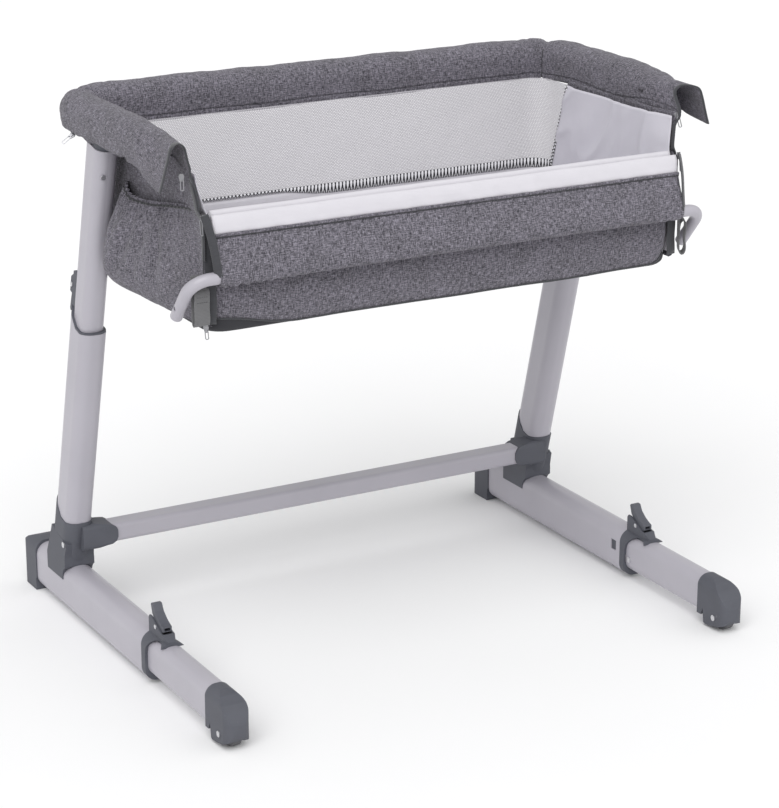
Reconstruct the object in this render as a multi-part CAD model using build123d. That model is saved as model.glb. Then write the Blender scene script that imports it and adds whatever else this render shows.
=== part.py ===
from build123d import *
import math
import os

# Bedside bassinet on a height-adjustable stand.
# Frame: +X to the right-hand end, +Y from the open front to the back, +Z up.
# Origin: centre of the footprint on the floor. All sizes in millimetres.

# ---------------------------------------------------------------- driving sizes
RAIL_X = 450.0            # centre plane of each foot rail and leg
FRONT_Y = -395.0          # front end of the feet
REAR_Y = 395.0            # rear end of the feet

RAIL_W, RAIL_H, RAIL_R = 50.0, 81.0, 22.0      # outer rail section
RAIL_Z = 45.5
RAIL_WALL = 2.0
RAIL_FRONT, RAIL_REAR = -98.0, 336.0
INNER_W, INNER_H, INNER_R = 40.0, 64.6, 17.0   # sliding rail section
INNER_Z = 47.8
INNER_FRONT, INNER_REAR = -322.0, 40.0
FIT = 0.06                # radial running clearance of sliding pieces
BUTTON_Y, BUTTON_Z = -120.0, 38.5
LOCK_Y, LOCK_Z = -79.5, 54.0

FOOT_HALF = 21.0          # half width of the front foot
AXLE_Y, AXLE_Z = -368.0, 22.0
ROLLER_R, ROLLER_W = 22.0, 16.0
AXLE_D = 6.0

COLLAR_FRONT = -162.0     # front end of the rail collar
PIN_Y, PIN_Z = -124.0, 101.0                   # pin of the rail latch
PIN_R = 2.5               # radius of both latch pins and the socket screws
PIN_FIT = 0.05            # clearance of a lever on its pin
CHEEK = 10.5              # half width of the latch housing
LEVER = 7.5               # half width of the lever between the cheeks

LEAN = 15.0               # legs lean forward from the vertical
LEG_P = (215.0, 199.0)    # a point (Y, Z) on the leg axis
LEG_W, LEG_D, LEG_R = 46.0, 68.0, 20.0         # lower leg section
LEG_WALL = 2.0
UPPER_W, UPPER_D, UPPER_R = 38.0, 57.0, 17.0   # upper leg section
LEG_BOTTOM, LEG_TOP = -104.0, 352.0            # along the leg axis from LEG_P
UPPER_BOTTOM, UPPER_TOP = 130.0, 655.0
UPPER_WALL = 2.0
LATCH_S, LATCH_N = 390.0, 41.0                 # pin of the leg latch, along and behind the leg axis
LATCH_HALF = 9.8          # half width of the leg latch lever
SCREW_Y, SCREW_Z = 210.0, 126.0                # screw through the side of each leg socket

BAR_Y, BAR_Z = 205.0, 139.0                    # crossbar
BAR_D, BAR_H, BAR_R = 38.0, 32.0, 7.0
BAR_HALF = 404.0

TOP_X, TOP_Z = 450.0, 869.0                    # top frame tube
TUBE_D = 19.0
TUBE_WALL = 1.5
TOP_BACK, TOP_END = 190.0, -139.5
TOP_BEND = 70.0
COVER_W, COVER_H, COVER_WALL = 64.0, 63.0, 3.0
COVER_X, COVER_TOP = 447.0, 895.0
COVER_FRONT = -222.0
COVER_SPLIT = 110.0       # seam between each side cover and the back cover

WALL_X = 412.0            # middle of each end wall
WALL_T = 4.0
WALL_TOP, FLOOR_Z = 832.0, 612.0
BACK_Y = 159.0            # middle of the back wall
FRONT_WALL_Y = -236.0     # middle of the fixed front panel
LIP_Y, LIP_Z = -246.0, 779.0                   # hinge line of the drop side
FLAP_HALF = 408.0
DROP_Y, DROP_Z = -265.0, 689.0                 # drop bar
ARM_X, ARM_LEN, ARM_DIP = 450.0, 86.0, 50.0
ARM_BEND = 30.0
PANEL_HALF = 406.0        # half length of the fixed front panel

BASE_HALF, BASE_TUBE_R = 392.0, 7.0            # ring of tube under the board
BASE_FRONT, BASE_REAR, BASE_Z = -214.0, 138.0, 604.0
BOARD_LOW, BOARD_TOP = 611.5, 615.0
PAD_HALF = 396.0
PAD_FRONT, PAD_REAR, PAD_LOW = -212.0, 146.0, 615.5
MATTRESS_TOP = 674.0
STRAP_W, STRAP_T = 25.0, 1.6

os.makedirs("parts", exist_ok=True)


# ---------------------------------------------------------------- helpers
def save(name, shape):
    export_step(shape, "parts/" + name + ".step")


def both(name, shape):
    """Save the right-hand piece and its mirror image."""
    save(name + "_right", shape)
    save(name + "_left", mirror(shape, about=Plane.YZ))


def along_y(x, z, section, y0, y1):
    plane = Plane(origin=(x, y0, z), x_dir=(1, 0, 0), z_dir=(0, 1, 0))
    return extrude(plane * section, y1 - y0)


def side_plate(points, x0, x1):
    """A (Y, Z) outline pulled along X."""
    face = make_face(Polyline(*points, close=True))
    return extrude(Plane.YZ.offset(x0) * face, x1 - x0)


def box(x0, x1, y0, y1, z0, z1):
    middle = ((x0 + x1) / 2, (y0 + y1) / 2, (z0 + z1) / 2)
    return Pos(*middle) * Box(x1 - x0, y1 - y0, z1 - z0)


def rod_x(x0, x1, y, z, radius):
    return extrude(Plane.YZ.offset(x0) * Pos(y, z) * Circle(radius), x1 - x0)


def leg_point(s, n=0.0, x=RAIL_X):
    """Point s along the leg axis and n behind it."""
    a = math.radians(LEAN)
    y = LEG_P[0] - s * math.sin(a) + n * math.cos(a)
    z = LEG_P[1] + s * math.cos(a) + n * math.sin(a)
    return (x, y, z)


def along_leg(section, s0, s1):
    a = math.radians(LEAN)
    plane = Plane(origin=leg_point(s0), x_dir=(1, 0, 0), z_dir=(0, -math.sin(a), math.cos(a)))
    return extrude(plane * section, s1 - s0)


def leg_side(points, x0, x1):
    """An outline given as (n, s) leg coordinates, pulled along X."""
    return side_plate([leg_point(s, n)[1:] for n, s in points], x0, x1)


def rod_leg(x0, x1, n, s, radius):
    _, y, z = leg_point(s, n)
    return rod_x(x0, x1, y, z, radius)


def rounded(width, height, radius):
    return RectangleRounded(width, height, radius)


def shrink(width, height, radius, inset):
    return RectangleRounded(width - 2 * inset, height - 2 * inset, radius - inset)


# ---------------------------------------------------------------- foot rails
def outer_rail():
    tube = along_y(RAIL_X, RAIL_Z, rounded(RAIL_W, RAIL_H, RAIL_R), RAIL_FRONT, RAIL_REAR)
    bore = along_y(RAIL_X, RAIL_Z, shrink(RAIL_W, RAIL_H, RAIL_R, RAIL_WALL), RAIL_FRONT - 1, RAIL_REAR + 1)
    lock_hole = box(RAIL_X - 30, RAIL_X - 20, LOCK_Y - 7.5, LOCK_Y + 7.5, LOCK_Z - 9, LOCK_Z + 9)
    return tube - bore - lock_hole


def rear_foot():
    back = REAR_Y
    outline = [(RAIL_REAR + 0.1, 22), (RAIL_REAR + 0.1, 90), (back - 38, 91), (back - 25, 89), (back - 13, 84),
               (back - 5, 76), (back - 1, 66), (back, 58), (back, 18), (back - 6, 0), (RAIL_REAR + 3, 0),
               (RAIL_REAR + 3, 22)]
    half = RAIL_W / 2 + 2
    cap = side_plate(outline, RAIL_X - half, RAIL_X + half)
    cap &= extrude(Pos(RAIL_X, back - 60) * RectangleRounded(2 * half, 120, 16), 120)
    cap &= along_y(RAIL_X, 11, rounded(2 * half, 160, 22), RAIL_REAR - 1, back + 1)
    inside = shrink(RAIL_W, RAIL_H, RAIL_R, RAIL_WALL + 0.05)
    plug = along_y(RAIL_X, RAIL_Z, inside, RAIL_REAR - 34, RAIL_REAR + 4)
    plug_bore = shrink(RAIL_W, RAIL_H, RAIL_R, RAIL_WALL + 3)
    hollow = along_y(RAIL_X, RAIL_Z, plug_bore, RAIL_REAR - 35, RAIL_REAR - 2)
    return cap + (plug - hollow)


def rail_collar():
    """Plastic end collar of the outer rail: bush for the sliding rail and housing of the latch."""
    outer = along_y(RAIL_X, RAIL_Z, rounded(RAIL_W, RAIL_H, RAIL_R), COLLAR_FRONT, RAIL_FRONT)
    notch = Plane.YZ.offset(RAIL_X - 30) * Pos(-144, 50) * Ellipse(32, 34)
    outer -= extrude(notch, 60) + box(RAIL_X - 30, RAIL_X + 30, -176, -112, -5, 50)
    outline = [(RAIL_FRONT, 70), (RAIL_FRONT, 109), (-101, 113), (-108, 113), (-142, 96), (-149, 95),
               (COLLAR_FRONT, 85), (COLLAR_FRONT, 70)]
    housing = side_plate(outline, RAIL_X - CHEEK, RAIL_X + CHEEK)
    taper = Polyline((RAIL_X - 6, COLLAR_FRONT), (RAIL_X + 6, COLLAR_FRONT), (RAIL_X + CHEEK, COLLAR_FRONT + 13),
                     (RAIL_X + CHEEK, RAIL_FRONT), (RAIL_X - CHEEK, RAIL_FRONT),
                     (RAIL_X - CHEEK, COLLAR_FRONT + 13), close=True)
    housing &= extrude(make_face(taper), 130)
    inside = shrink(RAIL_W, RAIL_H, RAIL_R, RAIL_WALL + 0.05)
    insert = along_y(RAIL_X, RAIL_Z, inside, RAIL_FRONT - 2, RAIL_FRONT + 36)
    bore = along_y(RAIL_X, INNER_Z, rounded(INNER_W + 2 * FIT, INNER_H + 2 * FIT, INNER_R + FIT), -170, -50)
    button_way = box(RAIL_X - 22.5, RAIL_X - 18, -170, -50, BUTTON_Z - 7, BUTTON_Z + 7)
    lock_way = box(RAIL_X - 22.6, RAIL_X - 18, LOCK_Y - 9, RAIL_FRONT + 40, LOCK_Z - 10, LOCK_Z + 10)
    half = LEVER + 0.4
    slot_outline = [(-147, 90), (-112, 88), (-94, 88), (-94, 130), (-147, 130)]
    lever_slot = side_plate(slot_outline, RAIL_X - half, RAIL_X + half)
    pin = rod_x(RAIL_X - 25, RAIL_X + 25, PIN_Y, PIN_Z, PIN_R)
    return (outer + housing + insert) - bore - button_way - lock_way - lever_slot - pin


def rail_latch():
    """Lever on the collar: a tongue between the cheeks and a thumb piece above them."""
    tongue_outline = [(-107, 117), (-113, 104), (-118, 95), (-126, 93), (-138, 95.5), (-145, 98),
                      (-145, 106), (-132, 110), (-118, 118)]
    tongue = side_plate(tongue_outline, RAIL_X - LEVER, RAIL_X + LEVER)
    thumb_outline = [(-106, 115.5), (-101, 130), (-103, 133), (-110, 133), (-116, 122), (-128, 113),
                     (-143, 106), (-143, 101.5)]
    thumb = side_plate(thumb_outline, RAIL_X - LEVER, RAIL_X + LEVER)
    lever = tongue + thumb
    lever -= rod_x(RAIL_X - LEVER - 2, RAIL_X + LEVER + 2, PIN_Y, PIN_Z, PIN_R + PIN_FIT)
    return lever - box(RAIL_X - 5, RAIL_X + 5, -150, -136, 99, 104)


def rail_latch_pins():
    pins = []
    for side in (-1, 1):
        pin = rod_x(-CHEEK, CHEEK, PIN_Y, PIN_Z, PIN_R)
        pin += rod_x(-CHEEK - 1.4, -CHEEK, PIN_Y, PIN_Z, 3.6)
        pin += rod_x(CHEEK, CHEEK + 1.4, PIN_Y, PIN_Z, 3.6)
        pins.append(Pos(side * RAIL_X, 0, 0) * pin)
    return Compound(pins)


# ---------------------------------------------------------------- sliding rails
def inner_rail():
    tube = along_y(RAIL_X, INNER_Z, rounded(INNER_W, INNER_H, INNER_R), INNER_FRONT, INNER_REAR)
    inside = shrink(INNER_W, INNER_H, INNER_R, RAIL_WALL)
    bore = along_y(RAIL_X, INNER_Z, inside, INNER_FRONT - 1, INNER_REAR + 1)
    button_hole = rod_x(RAIL_X - 25, RAIL_X - 10, BUTTON_Y, BUTTON_Z, 5 + FIT)
    return tube - bore - button_hole


def rail_button():
    """Spring button that pops out through the inner face of the sliding rail."""
    stem = rod_x(RAIL_X - 21.6, RAIL_X - 16, BUTTON_Y, BUTTON_Z, 5)
    collar = rod_x(RAIL_X - 17.8, RAIL_X - 16, BUTTON_Y, BUTTON_Z, 5.9)
    return stem + collar


def rail_spring():
    """Bent leaf that pushes the button outwards."""
    x0 = RAIL_X - 13
    leaf = Polyline((x0, BUTTON_Y - 8), (x0 + 22, BUTTON_Y + 34), (x0, BUTTON_Y + 74))
    band = offset(leaf, 0.6, side=Side.BOTH)
    face = make_face(band)
    return extrude(Plane.XY.offset(BUTTON_Z - 5) * face, 10)


def front_foot():
    """End cap of the sliding rail, a hood over the roller."""
    outline = [(INNER_FRONT - 0.05, 16), (INNER_FRONT - 0.05, 82.5), (-346, 82.5), (-362, 78.5), (-377, 69),
               (-388, 57), (-393, 46), (FRONT_Y, 41), (FRONT_Y, 22), (-391, 14), (-378, 9), (-346, 3),
               (-341, 5), (-338, 29), (-333, 16)]
    cap = side_plate(outline, RAIL_X - FOOT_HALF, RAIL_X + FOOT_HALF)
    cap &= extrude(Pos(RAIL_X, FRONT_Y + 60) * RectangleRounded(2 * FOOT_HALF, 120, 14), 120)
    cap &= along_y(RAIL_X, 2.5, rounded(2 * FOOT_HALF, 160, 18), FRONT_Y - 1, INNER_FRONT + 1)
    gap = ROLLER_W / 2 + 1.5
    well = box(RAIL_X - gap, RAIL_X + gap, AXLE_Y - ROLLER_R - 1.5, AXLE_Y + ROLLER_R + 1.5, -5, AXLE_Z)
    well += rod_x(RAIL_X - gap, RAIL_X + gap, AXLE_Y, AXLE_Z, ROLLER_R + 1.5)
    inside = shrink(INNER_W, INNER_H, INNER_R, RAIL_WALL + 0.05)
    plug = along_y(RAIL_X, INNER_Z, inside, INNER_FRONT - 2, INNER_FRONT + 30)
    plug_bore = shrink(INNER_W, INNER_H, INNER_R, RAIL_WALL + 3)
    hollow = along_y(RAIL_X, INNER_Z, plug_bore, INNER_FRONT + 2, INNER_FRONT + 31)
    axle_hole = rod_x(RAIL_X - 30, RAIL_X + 30, AXLE_Y, AXLE_Z, AXLE_D / 2)
    return cap + (plug - hollow) - well - axle_hole


def roller_axle():
    axle = rod_x(RAIL_X - FOOT_HALF, RAIL_X + FOOT_HALF, AXLE_Y, AXLE_Z, AXLE_D / 2)
    axle += rod_x(RAIL_X - FOOT_HALF - 1.4, RAIL_X - FOOT_HALF, AXLE_Y, AXLE_Z, 5)
    return axle + rod_x(RAIL_X + FOOT_HALF, RAIL_X + FOOT_HALF + 1.4, AXLE_Y, AXLE_Z, 5)


def roller():
    half = ROLLER_W / 2
    wheel = rod_x(RAIL_X - half, RAIL_X + half, AXLE_Y, AXLE_Z, ROLLER_R)
    wheel = fillet(wheel.edges(), 2.5)
    for side in (-1, 1):
        recess = rod_x(RAIL_X + side * half - 2, RAIL_X + side * half + 2, AXLE_Y, AXLE_Z, 16)
        hub = rod_x(RAIL_X + side * half - 2, RAIL_X + side * half + 2, AXLE_Y, AXLE_Z, 6.5)
        wheel -= recess - hub
    return wheel - rod_x(RAIL_X - 20, RAIL_X + 20, AXLE_Y, AXLE_Z, AXLE_D / 2 + 0.05)


# ---------------------------------------------------------------- leg sockets and crossbar
def mouth_cut(half, low, rise):
    """Wedge above a tube mouth that stands `rise` higher at the rear."""
    far = half + 20
    return [(-far, low + 4), (-half, low + 4), (-half * 0.5, low), (0, low), (half, low + rise),
            (far, low + rise), (far, low + 200), (-far, low + 200)]


def leg_socket():
    """Saddle over the rail, sleeve for the leg and stub for the crossbar in one moulding."""
    sleeve = along_leg(rounded(LEG_W + 3, LEG_D + 4, LEG_R + 1.5), -150, 12)
    sleeve -= leg_side(mouth_cut(36, -28, 28), RAIL_X - 40, RAIL_X + 40)
    skirt = side_plate([(206, 62), (206, 104), (200, 128), (262, 146), (276, 108), (283, 92), (283, 62)],
                       RAIL_X - 26.5, RAIL_X + 26.5)
    roof = [(-26.5, 0), (26.5, 0), (26.5, 98), (24.4, 142), (24.4, 150), (-24.4, 150), (-24.4, 142), (-26.5, 98)]
    plane = Plane(origin=(RAIL_X, 320, 0), x_dir=(1, 0, 0), z_dir=(0, -1, 0))
    skirt &= extrude(plane * make_face(Polyline(*roof, close=True)), 160)
    front_arc = extrude(Plane.YZ.offset(RAIL_X - 40) * Pos(196, 66) * Circle(22), 80)
    stub_low, stub_high = BAR_Z - BAR_H / 2 - 2.5, BAR_Z + BAR_H / 2 + 2.5
    stub = [(RAIL_X, stub_low - 4), (424, stub_low - 4), (410, stub_low), (398, stub_low + 1.5), (391, stub_low + 6),
            (388, stub_low + 13), (388, stub_high - 12), (391, stub_high - 6), (398, stub_high - 1.5),
            (408, stub_high + 0.5), (427, stub_high + 4), (RAIL_X, stub_high + 4)]
    stub_face = make_face(Polyline(*stub, close=True))
    plane = Plane(origin=(0, BAR_Y + BAR_D / 2 + 2.5, 0), x_dir=(1, 0, 0), z_dir=(0, -1, 0))
    arm = extrude(plane * stub_face, BAR_D + 5)
    plane = Plane(origin=(380, BAR_Y, BAR_Z), x_dir=(0, 1, 0), z_dir=(1, 0, 0))
    arm &= extrude(plane * rounded(BAR_D + 5, BAR_H + 13, 9), RAIL_X - 380)
    body = sleeve + skirt + arm - front_arc
    body -= box(RAIL_X - 40, RAIL_X + 40, 100, 320, -10, 62)
    body -= along_y(RAIL_X, RAIL_Z, rounded(RAIL_W, RAIL_H, RAIL_R), 100, 320)
    body -= along_leg(rounded(LEG_W, LEG_D, LEG_R), LEG_BOTTOM, 60)
    body -= along_x_bar(380, BAR_HALF)
    body -= rod_x(RAIL_X + 20, RAIL_X + 40, SCREW_Y, SCREW_Z, PIN_R)
    return body.solids().sort_by(SortBy.VOLUME)[-1]


def along_x_bar(x0, x1):
    plane = Plane(origin=(x0, BAR_Y, BAR_Z), x_dir=(0, 1, 0), z_dir=(1, 0, 0))
    return extrude(plane * rounded(BAR_D, BAR_H, BAR_R), x1 - x0)


def socket_screws():
    screws = []
    for side in (-1, 1):
        screw = rod_x(25.4, 26.9, SCREW_Y, SCREW_Z, 5) + rod_x(23.1, 25.4, SCREW_Y, SCREW_Z, PIN_R)
        screw = screw if side > 0 else mirror(screw, about=Plane.YZ)
        screws.append(Pos(side * RAIL_X, 0, 0) * screw)
    return Compound(screws)


def crossbar():
    bar = along_x_bar(-BAR_HALF, BAR_HALF)
    plane = Plane(origin=(-BAR_HALF - 1, BAR_Y, BAR_Z), x_dir=(0, 1, 0), z_dir=(1, 0, 0))
    bore = extrude(plane * shrink(BAR_D, BAR_H, BAR_R, 1.8), 2 * BAR_HALF + 2)
    return bar - bore


# ---------------------------------------------------------------- legs
def lower_leg():
    tube = along_leg(rounded(LEG_W, LEG_D, LEG_R), LEG_BOTTOM, LEG_TOP + 20)
    tube -= along_leg(shrink(LEG_W, LEG_D, LEG_R, LEG_WALL), LEG_BOTTOM - 1, LEG_TOP + 21)
    return tube - leg_side(mouth_cut(34, LEG_TOP - 20, 26), RAIL_X - 40, RAIL_X + 40)


def leg_collar():
    """Bush in the top of the lower leg, with the latch housing up its rear side."""
    low = LEG_TOP - 20
    bush = along_leg(shrink(LEG_W, LEG_D, LEG_R, LEG_WALL + 0.05), low - 60, LEG_TOP + 80)
    above = leg_side(mouth_cut(34, low + 3, 26), RAIL_X - 40, RAIL_X + 40)
    bush -= above
    rim = along_leg(rounded(LEG_W - 1, LEG_D - 1, LEG_R - 0.5), low - 30, LEG_TOP + 80)
    rim -= above
    rim &= leg_side(mouth_cut(34, low + 0.5, 26), RAIL_X - 40, RAIL_X + 40)
    back = [(24, low + 16), (34.2, low + 27), (38, low + 30), (38, low + 84), (30, low + 88), (24, low + 86)]
    housing = leg_side(back, RAIL_X - 15, RAIL_X + 15)
    cheeks = [(30, LATCH_S - 16), (46, LATCH_S - 14), (46, LATCH_S + 12), (36, LATCH_S + 22),
              (30, LATCH_S + 22)]
    housing += leg_side(cheeks, RAIL_X - 15, RAIL_X + 15)
    half = LATCH_HALF + 0.4
    gap = [(34, low), (60, low), (60, LATCH_S + 40), (34, LATCH_S + 40)]
    slot = leg_side(gap, RAIL_X - half, RAIL_X + half)
    bore = along_leg(rounded(UPPER_W + 2 * FIT, UPPER_D + 2 * FIT, UPPER_R + FIT), low - 70, LEG_TOP + 120)
    pin = rod_leg(RAIL_X - 25, RAIL_X + 25, LATCH_N, LATCH_S, PIN_R)
    return ((bush + rim + housing) - slot - bore - pin).solids().sort_by(SortBy.VOLUME)[-1]


def leg_latch():
    outline = [(38, LATCH_S + 12), (44, LATCH_S + 15), (48, LATCH_S + 8), (53, LATCH_S - 50),
               (50, LATCH_S - 54), (46, LATCH_S - 48), (42, LATCH_S - 10), (38, LATCH_S - 6)]
    lever = leg_side(outline, RAIL_X - LATCH_HALF, RAIL_X + LATCH_HALF)
    return lever - rod_leg(RAIL_X - 12, RAIL_X + 12, LATCH_N, LATCH_S, PIN_R + PIN_FIT)


def leg_latch_pins():
    pins = []
    _, y, z = leg_point(LATCH_S, LATCH_N)
    for side in (-1, 1):
        pin = rod_x(-15, 15, y, z, PIN_R) + rod_x(-16.6, -15, y, z, 4) + rod_x(15, 16.6, y, z, 4)
        pins.append(Pos(side * RAIL_X, 0, 0) * pin)
    return Compound(pins)


def upper_leg():
    tube = along_leg(rounded(UPPER_W, UPPER_D, UPPER_R), UPPER_BOTTOM, UPPER_TOP)
    return tube - along_leg(shrink(UPPER_W, UPPER_D, UPPER_R, UPPER_WALL), UPPER_BOTTOM - 1, UPPER_TOP + 1)


def leg_bracket():
    """Casting that plugs into the upper leg and clamps the top frame tube."""
    _, y, _ = leg_point(UPPER_TOP)
    head = box(433, 467, y - 30, y + 30, 846, 888)
    head &= along_leg(rounded(80, 90, 5), UPPER_TOP + 0.05, UPPER_TOP + 90)
    plug = along_leg(shrink(UPPER_W, UPPER_D, UPPER_R, UPPER_WALL + 0.05), UPPER_TOP - 40, UPPER_TOP + 12)
    tube = along_y(TOP_X, TOP_Z, Circle(TUBE_D / 2), y - 60, y + 60)
    return (head + plug) - tube


def leg_screws():
    screws = []
    x, y, z = leg_point(UPPER_TOP - 42, -UPPER_D / 2)
    a = math.radians(LEAN)
    plane = Plane(origin=(0, y, z), z_dir=(0, -math.cos(a), -math.sin(a)))
    for side in (-1, 1):
        head = extrude(plane * Circle(4), 2.2)
        screws.append(Pos(side * (x + 8), 0, 0) * head)
    return Compound(screws)


# ---------------------------------------------------------------- basket frame
def top_frame():
    path = FilletPolyline((-TOP_X, TOP_END, TOP_Z), (-TOP_X, TOP_BACK, TOP_Z), (TOP_X, TOP_BACK, TOP_Z),
                          (TOP_X, TOP_END, TOP_Z), radius=TOP_BEND)
    start = Plane(origin=(-TOP_X, TOP_END, TOP_Z), z_dir=(0, 1, 0))
    tube = sweep(start * Circle(TUBE_D / 2), path=path)
    return tube - sweep(start * Circle(TUBE_D / 2 - TUBE_WALL), path=path)


def base_frame():
    """Closed ring of tube that stretches the bottom of the basket."""
    middle = (BASE_FRONT + BASE_REAR) / 2
    ring = Pos(0, middle, BASE_Z) * RectangleRounded(2 * BASE_HALF, BASE_REAR - BASE_FRONT, 50)
    wire = ring.face().outer_wire()
    start = Plane(origin=wire @ 0, z_dir=wire % 0)
    return sweep(start * Circle(BASE_TUBE_R), path=wire)


def base_board():
    return box(-BASE_HALF - 8, BASE_HALF + 8, BASE_FRONT - 8, BASE_REAR + 10, BOARD_LOW, BOARD_TOP)


def mattress():
    pad = box(-PAD_HALF, PAD_HALF, PAD_FRONT, PAD_REAR, PAD_LOW, MATTRESS_TOP)
    pad = fillet(pad.edges().filter_by(Axis.Z), 30)
    return fillet(pad.edges().group_by(Axis.Z)[-1], 10)


# ---------------------------------------------------------------- fabric
def end_wall():
    front = FRONT_WALL_Y - 4
    outline = [(front, 640), (front, 782), (COVER_FRONT + 20, WALL_TOP), (BACK_Y - 3, WALL_TOP),
               (BACK_Y - 3, FLOOR_Z + 5), (front + 32, FLOOR_Z + 5)]
    return side_plate(outline, WALL_X - WALL_T / 2, WALL_X + WALL_T / 2)


def back_wall():
    half = WALL_X + WALL_T / 2
    return box(-half, half, BACK_Y - 2.5, BACK_Y + 2.5, FLOOR_Z + 5, WALL_TOP)


def front_panel():
    panel = box(-PANEL_HALF, PANEL_HALF, FRONT_WALL_Y - 3, FRONT_WALL_Y + 3, FLOOR_Z - 2, 768)
    lower_corners = panel.edges().filter_by(Axis.Y).group_by(Axis.Z)[0]
    roll = rod_x(-PANEL_HALF, PANEL_HALF, FRONT_WALL_Y + 3, 774, 9)
    return fillet(lower_corners, 40) + roll


def cover_section():
    """Upside-down U, its top at y = 0."""
    outer = Pos(0, -COVER_H / 2) * rounded(COVER_W, COVER_H, 20)
    outer -= Pos(0, -COVER_H) * Rectangle(COVER_W + 2, 44)
    outer += Pos(0, -COVER_H / 2 - 10) * Rectangle(COVER_W, COVER_H - 20)
    inner = Pos(0, -COVER_H) * RectangleRounded(COVER_W - 2 * COVER_WALL, 2 * (COVER_H - COVER_WALL), 17)
    return outer - inner


def rail_cover_side():
    """Padded sleeve over one side rail, open below and at its front end."""
    plane = Plane(origin=(COVER_X, COVER_FRONT, COVER_TOP), x_dir=(-1, 0, 0), z_dir=(0, 1, 0))
    sleeve = extrude(plane * cover_section(), COVER_SPLIT - COVER_FRONT - 0.05)
    return sleeve - box(COVER_X - 60, COVER_X - 16, COVER_FRONT - 5, COVER_FRONT + 18, 700, COVER_TOP - 8)


def cover_plan(inset):
    """Plan outline of the sleeve's outer side at the back, moved in by inset."""
    half = COVER_X + COVER_W / 2 - inset
    back = TOP_BACK + COVER_W / 2 - inset
    corner = 100 - inset
    return Pos(0, back - 200) * RectangleRounded(2 * half, 400, corner)


def rail_cover_back():
    """The sleeve along the back rail and round both corners."""
    outer = extrude(cover_plan(0) - cover_plan(COVER_W), COVER_H)
    outer = fillet(outer.edges().group_by(Axis.Z)[-1], 18)
    hollow = extrude(cover_plan(COVER_WALL) - cover_plan(COVER_W - COVER_WALL), COVER_H - COVER_WALL)
    hollow = fillet(hollow.edges().group_by(Axis.Z)[-1], 15)
    sleeve = Pos(0, 0, COVER_TOP - COVER_H) * (outer - hollow)
    return sleeve & box(-500, 500, COVER_SPLIT, 400, 700, 1000)


def side_pocket():
    """Elastic-topped pocket on the left end wall."""
    outline = [(-175, 625), (-195, 700), (-205, 790), (10, 770), (40, 700), (60, 640), (20, 612), (-140, 612)]
    pocket = side_plate(outline, -456, -WALL_X - 2.1)
    inner = side_plate([(-170, 630), (-190, 701), (-200, 800), (5, 780), (35, 699), (54, 640), (17, 617),
                        (-137, 617)], -452, -WALL_X - 5)
    return pocket - inner


def drop_side():
    """Padded flap folded down over the front, with the sleeve of the drop bar."""
    t = 4.0
    dy, dz = DROP_Y - LIP_Y, DROP_Z - LIP_Z
    length = math.hypot(dy, dz)
    ny, nz = -dz / length, dy / length
    top = (LIP_Y, LIP_Z)
    low = (DROP_Y + 6 * -dy / length, DROP_Z + 6 * -dz / length)
    outline = [(top[0] - t * ny, top[1] - t * nz), (top[0] + t * ny, top[1] + t * nz),
               (low[0] + t * ny, low[1] + t * nz), (low[0] - t * ny, low[1] - t * nz)]
    flap = side_plate(outline, -FLAP_HALF, FLAP_HALF)
    sleeve = rod_x(-FLAP_HALF, FLAP_HALF, DROP_Y, DROP_Z, TUBE_D / 2 + 3)
    return flap + sleeve - rod_x(-FLAP_HALF - 1, FLAP_HALF + 1, DROP_Y, DROP_Z, TUBE_D / 2 + 0.06)


def drop_bar():
    dip = math.radians(ARM_DIP)
    ey, ez = DROP_Y + ARM_LEN * math.cos(dip), DROP_Z - ARM_LEN * math.sin(dip)
    path = FilletPolyline((-ARM_X, ey, ez), (-ARM_X, DROP_Y, DROP_Z), (ARM_X, DROP_Y, DROP_Z),
                          (ARM_X, ey, ez), radius=ARM_BEND)
    start = Plane(origin=(-ARM_X, ey, ez), z_dir=(0, -math.cos(dip), math.sin(dip)))
    tube = sweep(start * Circle(TUBE_D / 2), path=path)
    tube -= sweep(start * Circle(TUBE_D / 2 - TUBE_WALL), path=path)
    hy, hz = ey - 22 * math.cos(dip), ez + 22 * math.sin(dip)
    return tube - rod_x(-ARM_X - 15, -ARM_X - 5, hy, hz, 3.5) - rod_x(ARM_X + 5, ARM_X + 15, hy, hz, 3.5)


def zip_tape():
    """Zip tape up the front edge of the end wall."""
    front = FRONT_WALL_Y - 4
    outline = [(front, 690), (front, 783), (COVER_FRONT + 18, WALL_TOP - 2), (COVER_FRONT + 34, WALL_TOP - 2),
               (front + 14, 778), (front + 14, 690)]
    return side_plate(outline, WALL_X + 2.1, WALL_X + 4.1)


def zip_slider():
    y, z = FRONT_WALL_Y + 3, 776
    body = box(WALL_X + 4.2, WALL_X + 8, y - 4, y + 4, z - 6, z + 6)
    pull = box(WALL_X + 8, WALL_X + 10, y - 3, y + 3, z - 26, z + 3)
    return body + pull


def corner_strap():
    """Doubled webbing strap hanging from the lower front corner."""
    front = FRONT_WALL_Y - 4.3
    inner = WALL_X + WALL_T / 2
    long_leg = box(inner, inner + STRAP_W, front - STRAP_T, front, 612, 692)
    short_leg = box(inner, inner + STRAP_W, front - 3.4, front - STRAP_T, 640, 676)
    return long_leg + short_leg


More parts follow.
